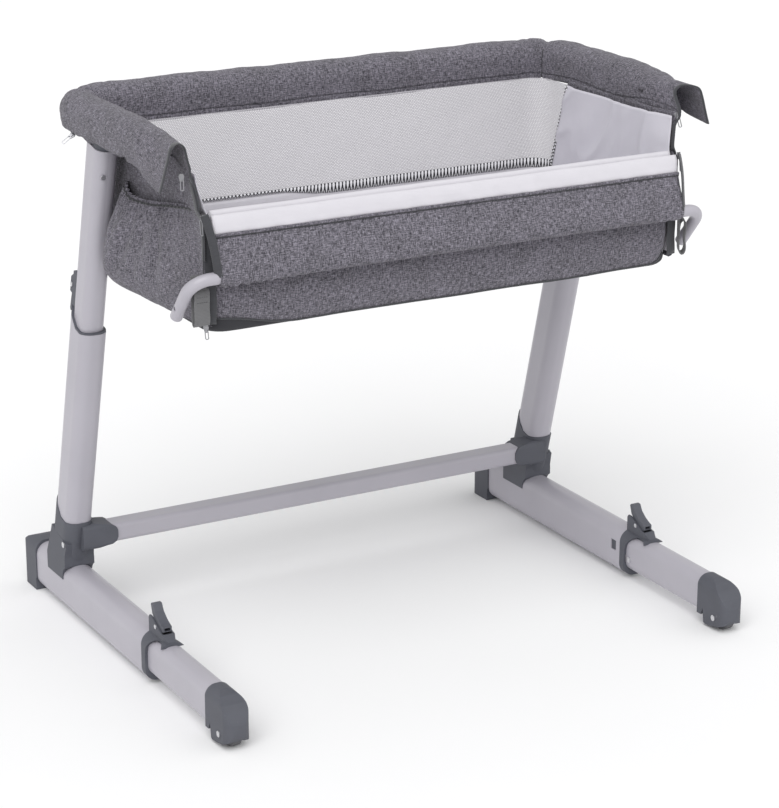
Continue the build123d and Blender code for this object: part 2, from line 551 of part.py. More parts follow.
# ---------------------------------------------------------------- build
both("outer_rail", outer_rail())
both("rear_foot", rear_foot())
both("rail_collar", rail_collar())
both("rail_latch", rail_latch())
save("rail_latch_pins", rail_latch_pins())
both("inner_rail", inner_rail())
both("rail_button", rail_button())
both("rail_spring", rail_spring())
both("front_foot", front_foot())
both("roller_axle", roller_axle())
both("roller", roller())
both("leg_socket", leg_socket())
save("socket_screws", socket_screws())
save("crossbar", crossbar())
both("lower_leg", lower_leg())
both("leg_collar", leg_collar())
both("leg_latch", leg_latch())
save("leg_latch_pins", leg_latch_pins())
both("upper_leg", upper_leg())
both("leg_bracket", leg_bracket())
save("leg_screws", leg_screws())
save("top_frame", top_frame())
save("base_frame", base_frame())
save("base_board", base_board())
save("mattress", mattress())
both("end_wall", end_wall())
save("back_wall", back_wall())
save("front_panel", front_panel())
both("rail_cover", rail_cover_side())
save("rail_cover_back", rail_cover_back())
save("side_pocket", side_pocket())
save("drop_side", drop_side())
save("drop_bar", drop_bar())
both("zip_tape", zip_tape())
both("zip_slider", zip_slider())
both("corner_strap", corner_strap())
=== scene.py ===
import math

import bmesh
import bpy
from mathutils import Matrix, Vector, noise


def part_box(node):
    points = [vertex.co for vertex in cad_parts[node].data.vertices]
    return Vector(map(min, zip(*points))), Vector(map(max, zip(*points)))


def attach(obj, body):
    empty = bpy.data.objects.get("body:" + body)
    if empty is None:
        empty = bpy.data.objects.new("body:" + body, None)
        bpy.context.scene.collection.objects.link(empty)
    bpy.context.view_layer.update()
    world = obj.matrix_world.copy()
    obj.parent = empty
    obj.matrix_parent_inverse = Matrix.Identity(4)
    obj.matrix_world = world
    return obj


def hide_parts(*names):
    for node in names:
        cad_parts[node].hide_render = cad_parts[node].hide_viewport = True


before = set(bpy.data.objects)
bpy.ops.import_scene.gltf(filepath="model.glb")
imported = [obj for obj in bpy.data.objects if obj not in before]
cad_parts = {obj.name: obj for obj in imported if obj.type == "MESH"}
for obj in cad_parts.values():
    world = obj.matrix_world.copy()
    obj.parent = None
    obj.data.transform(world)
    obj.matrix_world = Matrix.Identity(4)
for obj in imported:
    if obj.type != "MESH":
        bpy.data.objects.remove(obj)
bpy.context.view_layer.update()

# The looks of a bedside bassinet on its stand. Sizes are metres, in the frame's own axes:
# +X to the right-hand end, +Y from the open front to the back, +Z up.

MM = 0.001
SIDES = (("left", -1), ("right", 1))


# ---------------------------------------------------------------- sizes taken from the frame
COVER_LOW, COVER_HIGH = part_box("rail_cover_right")
_, BACK_COVER_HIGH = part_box("rail_cover_back")
WALL_LOW, WALL_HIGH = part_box("end_wall_right")
BACK_LOW, BACK_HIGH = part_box("back_wall")
PANEL_LOW, PANEL_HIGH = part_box("front_panel")
_, FLAP_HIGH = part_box("drop_side")
PAD_LOW, PAD_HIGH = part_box("mattress")
POCKET_LOW, POCKET_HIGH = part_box("side_pocket")
STRAP_LOW, STRAP_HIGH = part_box("corner_strap_right")
RING_LOW, RING_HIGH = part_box("base_frame")
BRACKET_LOW, BRACKET_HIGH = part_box("leg_bracket_right")
BAR_LOW, BAR_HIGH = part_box("drop_bar")
RUNNER_LOW, RUNNER_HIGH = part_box("zip_slider_right")
LEG_LOW, LEG_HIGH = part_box("upper_leg_right")

COVER_X = (COVER_LOW.x + COVER_HIGH.x) / 2        # middle of the sleeve on each side
COVER_HALF = (COVER_HIGH.x - COVER_LOW.x) / 2
COVER_BACK = BACK_COVER_HIGH.y - COVER_HALF
COVER_TURN = 68 * MM                              # plan radius of the sleeve's middle line
COVER_TOP, COVER_BOTTOM = COVER_HIGH.z, COVER_LOW.z
COVER_OPEN = 118 * MM                             # the sleeve is open below this far from its ends
SAG = 14 * MM                                     # its unsupported ends hang this much lower
DROOP_LENGTH = 190 * MM                           # the sag fades out this far from the ends

TRIM_Z = 688 * MM                                 # seam between the mesh and the cloth below it
SEAM_TOP_Y, SEAM_LOW_Y = 72 * MM, 118 * MM        # where the mesh ends on each end wall
LIP_Z = FLAP_HIGH.z
LIP_SEAM_Z = LIP_Z - 30 * MM                      # piping between the pale lip and the grey cloth
LEAN = math.radians(15)
BAR_RADIUS = 9.5 * MM
PANEL_HALF = PANEL_HIGH.x - 4 * MM                # half the width of the cloth on the front panel


# ---------------------------------------------------------------- mesh helpers
def new_object(name, mesh):
    made = bpy.data.objects.new(name, mesh)
    bpy.context.scene.collection.objects.link(made)
    return made


def mesh_object(name, verts, faces, corners=None):
    """A smooth mesh object; corners holds the UV of each face corner in turn."""
    mesh = bpy.data.meshes.new(name)
    mesh.from_pydata(verts, [], faces)
    if corners:
        layer = mesh.uv_layers.new(name="UVMap")
        for loop, uv in zip(layer.data, corners):
            loop.uv = uv
    mesh.shade_smooth()
    mesh.validate()
    return new_object(name, mesh)


def surface(name, us, vs, point, wrap_u=False, flip=False):
    """A grid mesh of point(u, v), whose UVs are its us and vs in metres."""
    columns, rows = len(us), len(vs)
    verts = [point(u, v) for v in vs for u in us]
    faces, corners = [], []
    gap_u = us[-1] - us[-2]
    for j in range(rows - 1):
        low, high = vs[j], vs[j + 1]
        for i in range(columns if wrap_u else columns - 1):
            i2 = (i + 1) % columns
            u2 = us[i2] if i2 > i else us[i] + gap_u
            face = [j * columns + i, j * columns + i2, (j + 1) * columns + i2, (j + 1) * columns + i]
            uv = [(us[i], low), (u2, low), (u2, high), (us[i], high)]
            if flip:
                face.reverse()
                uv.reverse()
            faces.append(face)
            corners += uv
    return mesh_object(name, verts, faces, corners)


def steps(start, end, size):
    count = max(2, round(abs(end - start) / size))
    return [start + (end - start) * i / count for i in range(count + 1)]


def spread_points(points, size):
    """(distance, point) pairs evenly spaced along a polyline."""
    lengths = [0.0]
    for a, b in zip(points, points[1:]):
        lengths.append(lengths[-1] + (Vector(b) - Vector(a)).length)
    out, k = [], 0
    for s in steps(0.0, lengths[-1], size):
        while k < len(points) - 2 and s > lengths[k + 1]:
            k += 1
        t = (s - lengths[k]) / max(lengths[k + 1] - lengths[k], 1e-9)
        out.append((s, Vector(points[k]).lerp(Vector(points[k + 1]), min(t, 1.0))))
    return out


def smooth_line(points, size):
    """Evenly spaced points on a curve that passes near a few given points."""
    curve = bpy.data.curves.new("line", "CURVE")
    curve.dimensions = "3D"
    curve.resolution_u = 12
    spline = curve.splines.new("NURBS")
    spline.points.add(len(points) - 1)
    for knot, p in zip(spline.points, points):
        knot.co = (*p, 1.0)
    spline.order_u = 4
    spline.use_endpoint_u = True
    holder = bpy.data.objects.new("line", curve)
    mesh = bpy.data.meshes.new_from_object(holder)
    found = [v.co.copy() for v in mesh.vertices]
    bpy.data.meshes.remove(mesh)
    bpy.data.objects.remove(holder)
    bpy.data.curves.remove(curve)
    return [p for _, p in spread_points(found, size)]


def sweep(name, points, section, across, caps=True):
    """A section of (side, out) points carried along a line; across(i) is its side direction at point i."""
    rings, far = [], [0.0]
    for i, p in enumerate(points):
        ahead = points[min(i + 1, len(points) - 1)] - points[max(i - 1, 0)]
        side = Vector(across(i)).normalized()
        side = (side - ahead.normalized() * side.dot(ahead.normalized())).normalized()
        out = ahead.normalized().cross(side)
        rings.append([p + side * a + out * b for a, b in section(i)])
        if i:
            far.append(far[-1] + (p - points[i - 1]).length)
    around = [0.0]
    first = section(0)
    for a, b in zip(first, first[1:]):
        around.append(around[-1] + math.hypot(b[0] - a[0], b[1] - a[1]))
    verts = [v for ring in rings for v in ring]
    n, faces, corners = len(first), [], []
    for j in range(len(rings) - 1):
        for i in range(n):
            i2 = (i + 1) % n
            u2 = around[i2] if i2 > i else around[i] + around[1]
            faces.append([j * n + i, j * n + i2, (j + 1) * n + i2, (j + 1) * n + i])
            corners += [(around[i], far[j]), (u2, far[j]), (u2, far[j + 1]), (around[i], far[j + 1])]
    if caps:
        last = (len(rings) - 1) * n
        faces += [list(range(n))[::-1], [last + k for k in range(n)]]
        corners += first[::-1] + first
    return mesh_object(name, verts, faces, corners)


def oval(width, thick, count=12):
    return [(width / 2 * math.cos(2 * math.pi * k / count), thick / 2 * math.sin(2 * math.pi * k / count))
            for k in range(count)]


def band_section(width, thick):
    """A flat strip's section with rounded edges."""
    r, half = thick / 2, width / 2 - thick / 2
    points = []
    for centre, start in ((half, -90), (-half, 90)):
        for k in range(4):
            a = math.radians(start + 60 * k)
            points.append((centre + r * math.cos(a), r * math.sin(a)))
    return points


def strip(name, points, width, thick, across):
    return sweep(name, points, lambda i: band_section(width, thick), across)


def thicken(obj, thickness, offset=-1.0):
    solid = obj.modifiers.new("thickness", "SOLIDIFY")
    solid.thickness = thickness
    solid.offset = offset
    solid.use_even_offset = False


def soften(obj):
    sub = obj.modifiers.new("soften", "SUBSURF")
    sub.levels = sub.render_levels = 1


def wave(u, v, size, seed):
    return noise.noise(Vector((u / size, v / size, seed)))


def folds(u, v, size_u, size_v, seed):
    """Sharp-crested folds, 0 to 1."""
    return (1 - abs(noise.noise(Vector((u / size_u, v / size_v, seed)))) * 2) ** 3


def rounded_loop(middle_x, middle_y, z, half_x, half_y, radius, count):
    """A closed rounded rectangle of points, with count steps to each corner."""
    loop = []
    for cx, cy, start in ((1, 1, 0), (-1, 1, 90), (-1, -1, 180), (1, -1, 270)):
        for k in range(count + 1):
            a = math.radians(start + 90 * k / count)
            loop.append(Vector((middle_x + cx * (half_x - radius) + radius * math.cos(a),
                                middle_y + cy * (half_y - radius) + radius * math.sin(a), z)))
    return loop + [loop[0].copy()]


def ease(low, high, x):
    """0 below low, 1 above high and a smooth step between."""
    t = min(max((x - low) / (high - low), 0.0), 1.0)
    return t * t * (3 - 2 * t)


def near(x, centre, width):
    """1 at the centre, fading out over about the width."""
    return math.exp(-((x - centre) / width) ** 2)


def joined(name, parts):
    """One mesh from several, given as (verts, faces)."""
    verts, faces = [], []
    for v, f in parts:
        start = len(verts)
        verts += v
        faces += [[start + k for k in face] for face in f]
    return mesh_object(name, verts, faces)


def stitch_row(name, points, outward, length=2.6 * MM, gap=1.4 * MM, radius=0.35 * MM):
    """A row of sewn stitches, each a thread segment that dips into the cloth at its ends."""
    parts = []
    line = spread_points(points, length + gap)
    for k in range(len(line) - 1):
        a, b = line[k][1], line[k + 1][1]
        ahead = (b - a).normalized()
        out = Vector(outward(a)).normalized()
        side = ahead.cross(out)
        rings = []
        for t, lift, size in ((0, -0.4, 0.4), (0.25, 0.5, 1), (0.75, 0.5, 1), (1, -0.4, 0.4)):
            p = a + ahead * (gap / 2 + length * t) + out * radius * lift
            rings.append([p + side * radius * size * math.cos(q) + out * radius * size * math.sin(q)
                          for q in (0.0, 1.571, 3.142, 4.712)])
        verts = [v for ring in rings for v in ring]
        faces = [[r * 4 + q, r * 4 + (q + 1) % 4, r * 4 + 4 + (q + 1) % 4, r * 4 + 4 + q]
                 for r in range(3) for q in range(4)]
        parts.append((verts, faces))
    return joined(name, parts)


def finish_piece(obj, body, look):
    obj.data.materials.clear()
    obj.data.materials.append(look)
    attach(obj, body)
    return obj


# ---------------------------------------------------------------- materials
class Look:
    """Short calls that build one material's nodes."""

    def __init__(self, name, roughness=0.8, metallic=0.0, **fixed):
        self.material = bpy.data.materials.new(name)
        self.material.use_nodes = True
        self.tree = self.material.node_tree
        self.shader = self.tree.nodes["Principled BSDF"]
        self.set(Roughness=roughness, Metallic=metallic)
        for key, value in fixed.items():
            self.shader.inputs[key.replace("_", " ")].default_value = value

    def put(self, socket, value):
        if isinstance(value, bpy.types.NodeSocket):
            self.tree.links.new(value, socket)
        else:
            socket.default_value = value

    def set(self, **values):
        for key, value in values.items():
            self.put(self.shader.inputs[key.replace("_", " ")], value)

    def add(self, kind, out=0, settings=None, **inputs):
        made = self.tree.nodes.new("ShaderNode" + kind)
        for key, value in (settings or {}).items():
            setattr(made, key, value)
        for key, value in inputs.items():
            self.put(made.inputs[key.replace("_", " ")], value)
        return made.outputs[out]

    def maths(self, operation, a, b=0.0, c=0.0):
        made = self.tree.nodes.new("ShaderNodeMath")
        made.operation = operation
        for socket, value in zip(made.inputs, (a, b, c)):
            self.put(socket, value)
        return made.outputs[0]

    def where(self, kind="Object"):
        return self.add("TexCoord", out=kind)

    def scaled(self, vector, x, y, z=1.0):
        return self.add("Mapping", Vector=vector, Scale=(x, y, z))

    def noise(self, vector, scale=1.0, detail=2.0, roughness=0.5):
        return self.add("TexNoise", out="Fac", Vector=vector, Scale=scale, Detail=detail, Roughness=roughness)

    def ramp(self, factor, *stops):
        made = self.tree.nodes.new("ShaderNodeValToRGB")
        self.put(made.inputs["Fac"], factor)
        for k, (at, colour) in enumerate(stops):
            stop = made.color_ramp.elements[k] if k < 2 else made.color_ramp.elements.new(at)
            stop.position, stop.color = at, (*colour, 1.0)
        return made.outputs["Color"]

    def mix(self, factor, a, b, blend="MIX"):
        made = self.tree.nodes.new("ShaderNodeMix")
        made.data_type, made.blend_type = "RGBA", blend
        self.put(made.inputs[0], factor)
        for socket, value in ((made.inputs[6], a), (made.inputs[7], b)):
            self.put(socket, (*value, 1.0) if isinstance(value, tuple) and len(value) == 3 else value)
        return made.outputs[2]

    def bump(self, height, strength, distance):
        self.set(Normal=self.add("Bump", Height=height, Strength=strength, Distance=distance))

    def between(self, factor, low, high):
        return self.add("MapRange", Value=factor, To_Min=low, To_Max=high)


def wave_of(look, value, period):
    """0 to 1 and back once each period."""
    turned = look.maths("SINE", look.maths("MULTIPLY", value, 2 * math.pi / period))
    return look.maths("MULTIPLY_ADD", turned, 0.5, 0.5)


def split(look, vector):
    made = look.tree.nodes.new("ShaderNodeSeparateXYZ")
    look.put(made.inputs[0], vector)
    return made.outputs


def linen(name, dark, light, tint):
    """Heather linen: slubby warp and weft threads of mixed tone, on UVs in metres."""
    look = Look(name, roughness=0.92, Sheen_Weight=0.10, Sheen_Roughness=0.55)
    uv = look.where("UV")
    warp = look.noise(look.scaled(uv, 640, 110), detail=3, roughness=0.62)
    weft = look.noise(look.scaled(uv, 130, 620), detail=3, roughness=0.62)
    fleck = look.noise(look.scaled(uv, 900, 700), detail=1)
    cloud = look.noise(look.scaled(uv, 22, 22), detail=3)
    thread = look.maths("MULTIPLY_ADD", look.maths("ADD", warp, weft), 0.5, -0.1)
    thread = look.maths("MULTIPLY_ADD", fleck, 0.25, thread)
    thread = look.maths("MULTIPLY_ADD", cloud, 0.10, thread)
    middle = tuple((a + b) * 0.40 for a, b in zip(dark, light))
    colour = look.ramp(thread, (0.45, dark), (0.70, light), (0.575, middle))
    colour = look.mix(look.between(cloud, 0.0, 0.5), colour, tint, "MULTIPLY")
    look.set(Base_Color=colour)
    x, y, _ = split(look, uv)
    weave = look.maths("MULTIPLY", wave_of(look, x, 1.1 * MM), wave_of(look, y, 1.1 * MM))
    height = look.maths("MULTIPLY_ADD", thread, 1.4, weave)
    look.bump(height, 0.55, 0.35 * MM)
    look.set(Roughness=look.between(fleck, 0.82, 0.98))
    return look.material


def plain_cloth(name, colour, shade, pitch=0.7 * MM, coords="UV", slub=0.25, sheen=0.08):
    look = Look(name, roughness=0.9, Sheen_Weight=sheen, Sheen_Roughness=0.5)
    where = look.where(coords)
    soft = look.noise(look.scaled(where, 14, 14, 14), detail=4)
    fine = look.noise(look.scaled(where, 900, 260, 500), detail=2)
    look.set(Base_Color=look.mix(look.maths("MULTIPLY_ADD", fine, slub, look.maths("MULTIPLY", soft, 0.5)),
                                 colour, shade))
    x, y, z = split(look, where)
    across = x if coords == "UV" else look.maths("ADD", x, z)
    weave = look.maths("MULTIPLY", wave_of(look, across, pitch), wave_of(look, y, pitch))
    look.bump(look.maths("MULTIPLY_ADD", fine, 0.6, weave), 0.3, 0.2 * MM)
    look.set(Roughness=look.between(soft, 0.84, 0.96))
    return look.material


def air_mesh(name):
    """Pale knitted mesh: a diagonal lattice of threads with open cells between them."""
    look = Look(name, roughness=0.85, Sheen_Weight=0.2)
    x, y, _ = split(look, look.where("UV"))
    pitch = 5.0 * MM
    one = wave_of(look, look.maths("ADD", x, y), pitch)
    two = wave_of(look, look.maths("SUBTRACT", x, y), pitch)
    cell = look.maths("MULTIPLY", one, two)
    hole = look.maths("GREATER_THAN", cell, 0.52)
    fine = look.noise(look.scaled(look.where("UV"), 700, 700), detail=2)
    # the threads darken toward the open cells: painted shade at the cell rims; the fine noise is random tone
    look.set(Base_Color=look.mix(look.maths("MULTIPLY_ADD", cell, 0.5, look.maths("MULTIPLY", fine, 0.3)),
                                 (0.56, 0.545, 0.575), (0.32, 0.31, 0.34)))
    look.set(Alpha=look.maths("SUBTRACT", 1.0, hole))
    look.bump(look.maths("SUBTRACT", 1.0, cell), 0.5, 0.4 * MM)
    return look.material


def lattice(name):
    """Net trim: a black diagonal net over white tape."""
    look = Look(name, roughness=0.85)
    x, y, _ = split(look, look.where("UV"))
    pitch = 8.5 * MM
    y = look.maths("MULTIPLY", y, 1.3)
    one = wave_of(look, look.maths("ADD", x, y), pitch)
    two = wave_of(look, look.maths("SUBTRACT", x, y), pitch)
    net = look.maths("MAXIMUM", one, two)
    fine = look.noise(look.scaled(look.where("UV"), 900, 900))
    ink = look.maths("GREATER_THAN", look.maths("MULTIPLY_ADD", fine, 0.1, net), 0.82)
    tape = look.mix(fine, (0.85, 0.85, 0.87), (0.7, 0.7, 0.73))
    look.set(Base_Color=look.mix(ink, tape, (0.015, 0.015, 0.02)))
    look.bump(net, 0.8, 0.6 * MM)
    return look.material


def ribbed_tape(name, colour, shade, rib=1.6 * MM, strength=0.6):
    """Woven tape or webbing with ribs across it; V runs along the tape."""
    look = Look(name, roughness=0.85, Sheen_Weight=0.3)
    uv = look.where("UV")
    x, y, _ = split(look, uv)
    ribs = wave_of(look, y, rib)
    grain = wave_of(look, look.maths("MULTIPLY_ADD", y, 0.5, x), 0.9 * MM)
    fuzz = look.noise(look.scaled(uv, 1100, 500), detail=2)
    fade = look.noise(look.scaled(uv, 60, 60), detail=2)
    # the rib valleys come out darker than the crests: painted shade between the ribs; fuzz and fade are random
    # tone
    tone = look.maths("MULTIPLY_ADD", ribs, 0.35, look.maths("MULTIPLY", fuzz, 0.5))
    tone = look.maths("MULTIPLY_ADD", fade, 0.25, tone)
    look.set(Base_Color=look.mix(tone, shade, colour))
    look.bump(look.maths("MULTIPLY_ADD", grain, 0.4, ribs), strength, 0.4 * MM)
    return look.material


def powder_coat(name):
    """Satin pale lilac-grey powder coat with a fine orange peel and a few scattered scuffs."""
    look = Look(name, roughness=0.38, Coat_Weight=0.25, Coat_Roughness=0.25)
    where = look.where()
    peel = look.noise(look.scaled(where, 900, 900, 900), detail=2)
    cloud = look.noise(look.scaled(where, 9, 9, 9), detail=4)
    scuff = look.noise(look.scaled(where, 60, 14, 300), detail=6, roughness=0.7)
    mark = look.maths("GREATER_THAN", scuff, 0.71)
    paint = look.mix(cloud, (0.440, 0.424, 0.470), (0.380, 0.366, 0.410))
    paint = look.mix(look.maths("MULTIPLY", mark, 0.35), paint, (0.33, 0.32, 0.35))
    look.set(Base_Color=paint)
    rough = look.maths("MULTIPLY_ADD", mark, 0.18, look.between(cloud, 0.33, 0.46))
    look.set(Roughness=rough)
    look.bump(peel, 0.12, 0.15 * MM)
    return look.material


def moulded(name, colour, grain=1400.0, rough=0.52, strength=0.22):
    """Moulded plastic: spark-eroded grain, faint flow marks and fine scratches."""
    look = Look(name, roughness=rough)
    where = look.where()
    pits = look.noise(look.scaled(where, grain, grain, grain), detail=3, roughness=0.6)
    flow = look.noise(look.scaled(where, 25, 25, 40), detail=3)
    scratch = look.noise(look.scaled(where, 420, 30, 60), detail=4, roughness=0.7)
    lined = look.maths("GREATER_THAN", scratch, 0.70)
    pale = tuple(min(1.0, c * 1.35 + 0.012) for c in colour)
    shade = look.mix(flow, colour, pale)
    look.set(Base_Color=look.mix(look.maths("MULTIPLY", lined, 0.25), shade, (0.25, 0.25, 0.27)))
    look.set(Roughness=look.maths("MULTIPLY_ADD", pits, 0.16, look.between(flow, rough - 0.08, rough + 0.06)))
    look.bump(look.maths("SUBTRACT", pits, look.maths("MULTIPLY", lined, 0.4)), strength, 0.15 * MM)
    return look.material


def metal(name, colour, rough, brush=(900.0, 60.0, 60.0), strength=0.12):
    look = Look(name, roughness=rough, metallic=1.0)
    where = look.where()
    drawn = look.noise(look.scaled(where, *brush), detail=4, roughness=0.65)
    stain = look.noise(look.scaled(where, 160, 160, 160), detail=3)
    dull = tuple(c * 0.72 for c in colour)
    look.set(Base_Color=look.mix(stain, colour, dull))
    look.set(Roughness=look.maths("MULTIPLY_ADD", drawn, 0.2, look.between(stain, rough - 0.06, rough + 0.08)))
    look.bump(drawn, strength, 0.1 * MM)
    return look.material


def hardboard(name):
    look = Look(name, roughness=0.75)
    where = look.where()
    fibre = look.noise(look.scaled(where, 300, 90, 300), detail=5, roughness=0.7)
    cloud = look.noise(look.scaled(where, 10, 10, 10), detail=3)
    look.set(Base_Color=look.ramp(look.maths("MULTIPLY_ADD", cloud, 0.4, look.maths("MULTIPLY", fibre, 0.6)),
                                  (0.3, (0.23, 0.15, 0.09)), (0.7, (0.42, 0.30, 0.19))))
    look.bump(fibre, 0.3, 0.2 * MM)
    return look.material


def thread(name, colour):
    look = Look(name, roughness=0.7, Sheen_Weight=0.3)
    where = look.where()
    twist = look.noise(look.scaled(where, 2500, 2500, 2500), detail=1)
    look.set(Base_Color=look.mix(twist, colour, tuple(c * 0.6 for c in colour)))
    look.bump(twist, 0.4, 0.1 * MM)
    return look.material


def floor_paint(name):
    look = Look(name, roughness=0.9)
    cloud = look.noise(look.scaled(look.where(), 1.5, 1.5, 1.5), detail=3)
    look.set(Base_Color=look.mix(cloud, (0.93, 0.93, 0.935), (0.90, 0.90, 0.905)))
    return look.material


LINEN = linen("heather_linen", (0.018, 0.017, 0.024), (0.285, 0.270, 0.310), (0.86, 0.83, 0.94))
LINING = plain_cloth("pale_lining", (0.64, 0.625, 0.68), (0.55, 0.535, 0.595))
LIP_CLOTH = plain_cloth("lip_cloth", (0.66, 0.645, 0.685), (0.57, 0.555, 0.595))
PAD_CLOTH = plain_cloth("pad_cover", (0.66, 0.65, 0.69), (0.58, 0.57, 0.61), pitch=1.2 * MM, coords="Object")
BLACK_CLOTH = plain_cloth("base_nylon", (0.018, 0.018, 0.022), (0.045, 0.045, 0.052), pitch=0.9 * MM)
MESH = air_mesh("air_mesh")
NET = lattice("net_trim")
BINDING = ribbed_tape("binding_tape", (0.060, 0.062, 0.070), (0.022, 0.022, 0.027), rib=1.1 * MM, strength=0.4)
WEBBING = ribbed_tape("grey_webbing", (0.190, 0.190, 0.196), (0.095, 0.095, 0.100), rib=2.0 * MM, strength=0.8)
TUBE = powder_coat("powder_coat")
DARK = moulded("dark_plastic", (0.064, 0.067, 0.082))
LEVER = moulded("lever_plastic", (0.070, 0.073, 0.089), rough=0.45)
ROLLER = moulded("roller_plastic", (0.060, 0.060, 0.066), rough=0.40, strength=0.12)
STEEL = metal("rivet_steel", (0.78, 0.78, 0.80), 0.26)
SPRING = metal("spring_steel", (0.55, 0.55, 0.57), 0.34, brush=(200.0, 900.0, 900.0))
CHROME = metal("zip_metal", (0.40, 0.40, 0.42), 0.20, strength=0.06)
BOARD = hardboard("hardboard")
DARK_THREAD = thread("dark_thread", (0.03, 0.03, 0.036))
TEETH = moulded("zip_teeth", (0.030, 0.030, 0.034), rough=0.35, strength=0.1)

CAD_LOOKS = {
    "tube_paint": TUBE, "dark_plastic": DARK, "lever_plastic": LEVER, "rivet_steel": STEEL,
    "spring_steel": SPRING, "roller_plastic": ROLLER, "board": BOARD, "grey_linen": LINEN,
    "lining": LINING, "mesh": MESH, "zip_tape": BINDING, "zip_metal": CHROME, "webbing": WEBBING,
}


def paint_cad_nodes():
    """Each CAD node's slots get the finished look of the same name."""
    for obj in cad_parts.values():
        for held in obj.material_slots:
            slot = held.material.name.split(".")[0] if held.material else ""
            if slot in CAD_LOOKS:
                held.material = CAD_LOOKS[slot]


# ---------------------------------------------------------------- plan paths
class Plan:
    """A U in plan: up the left side, round the back and down the right side."""

    def __init__(self, half, front, back, radius):
        self.half, self.front, self.back, self.radius = half, front, back, radius
        self.side = back - radius - front
        self.turn = radius * math.pi / 2
        self.across = 2 * (half - radius)
        self.total = 2 * (self.side + self.turn) + self.across

    def at(self, s):
        """The point and its outward direction at distance s from the left front end."""
        if s > self.total / 2:
            point, out = self.at(self.total - s)
            return Vector((-point.x, point.y, 0)), Vector((-out.x, out.y, 0))
        if s <= self.side:
            return Vector((-self.half, self.front + s, 0)), Vector((-1, 0, 0))
        if s <= self.side + self.turn:
            a = (s - self.side) / self.radius
            out = Vector((-math.cos(a), math.sin(a), 0))
            return Vector((self.radius - self.half, self.back - self.radius, 0)) + out * self.radius, out
        return Vector((self.radius - self.half + s - self.side - self.turn, self.back, 0)), Vector((0, 1, 0))

    def corners(self):
        """The distances of the middles of the two turns."""
        return self.side + self.turn / 2, self.total - self.side - self.turn / 2


RAIL = Plan(COVER_X, COVER_LOW.y, COVER_BACK, COVER_TURN)
INNER = Plan(WALL_LOW.x, WALL_LOW.y, BACK_LOW.y, 36 * MM)
OUTER = Plan(WALL_HIGH.x + 1.2 * MM, WALL_LOW.y + 1 * MM, BACK_HIGH.y + 1.2 * MM, 40 * MM)


def wall_edge(z):
    """X and Y of an end wall's front edge at height z: above the drop side's hinge it leans back and out."""
    up = ease(LIP_Z - 14 * MM, LIP_Z + 4 * MM, z)
    high = ease(LIP_Z + 4 * MM, COVER_BOTTOM, z)
    y = WALL_LOW.y + (COVER_LOW.y - 2 * MM - WALL_LOW.y) * up + 5 * MM * high
    return WALL_HIGH.x + 3 * MM * up + 6 * MM * high, y


# ---------------------------------------------------------------- rail cover
HEM = 9 * MM          # height of the stitched hem along the inner bottom edge
SHOULDER = COVER_BOTTOM + 30 * MM


def cover_section():
    """The sleeve's section as (outward, up, part, share) from the inner hem over the top to the underside."""
    half = COVER_HALF
    points = []
    for z in (0, 3, 6, HEM / MM - 1.2, HEM / MM, HEM / MM + 1.2, 13, 18, 24):
        points.append((-half + 1.5 * MM * (1 - z / 30), COVER_BOTTOM + z * MM, "inner", z / 24))
    for k in range(25):
        a = math.pi - math.pi * k / 24
        full = 2 / 2.3
        out = half * math.copysign(abs(math.cos(a)) ** full, math.cos(a))
        up = (COVER_TOP - SHOULDER) * abs(math.sin(a)) ** full
        points.append((out, SHOULDER + up, "top", k / 24))
    for k in range(1, 4):
        points.append((half - 0.4 * MM * k, SHOULDER - 4.5 * MM * k, "outer", k / 3))
    for k in range(1, 13):
        points.append((0, 0, "under", k / 12))
    return points


def underside(share):
    """Where the closed underside has got to, from the outer face round to the inner hem."""
    half, bottom = COVER_HALF, COVER_BOTTOM
    corner = 13 * MM
    turn = corner * math.pi / 2
    flat = 2 * half - corner - 5 * MM
    s = share * (turn + flat)
    if s < turn:
        a = s / corner
        return half - 1.2 * MM - corner + corner * math.cos(a), bottom + 16.5 * MM - corner * math.sin(a)
    return half - 1.2 * MM - corner - (s - turn), bottom + 3.5 * MM


def mouth_shape(up, part, share):
    """The slack section at the open end, where nothing fills the sleeve: a peak with one slanted side."""
    crown, radius = 0.5 * MM, 18.5 * MM
    high = COVER_TOP - radius
    knee = 0.45
    turn = math.radians(145)
    if part == "inner":
        return crown - radius, up
    if part == "top" and share < knee:
        a = math.pi - turn * share / knee
        return crown + radius * math.cos(a), high + radius * math.sin(a)
    start = (crown + radius * math.cos(math.pi - turn), high + radius * math.sin(turn))
    low = (33 * MM, COVER_BOTTOM - 1 * MM)
    slant = {"top": (share - knee) / (1 - knee) * 0.58,
             "outer": 0.58 + 0.17 * share,
             "under": 0.75 + 0.25 * share}
    along = slant[part]
    return start[0] + (low[0] - start[0]) * along, start[1] + (low[1] - start[1]) * along


def underside_point(share, end, y):
    """Out and up of the underside, which hangs open near the mouths and round the leg brackets."""
    closed = ease(COVER_OPEN, COVER_OPEN + 45 * MM, end)
    if end < RAIL.side:
        middle = (BRACKET_LOW.y + BRACKET_HIGH.y) / 2
        closed *= 1 - 0.9 * near(y, middle, 44 * MM)
    lift = 5 * MM * near(end, 110 * MM, 45 * MM)
    hanging = (COVER_HALF - 1.2 * MM - 1.5 * MM * share, SHOULDER - (13.5 * MM + (12 * MM - lift) * share))
    return [h + (c - h) * closed for h, c in zip(hanging, underside(share))]


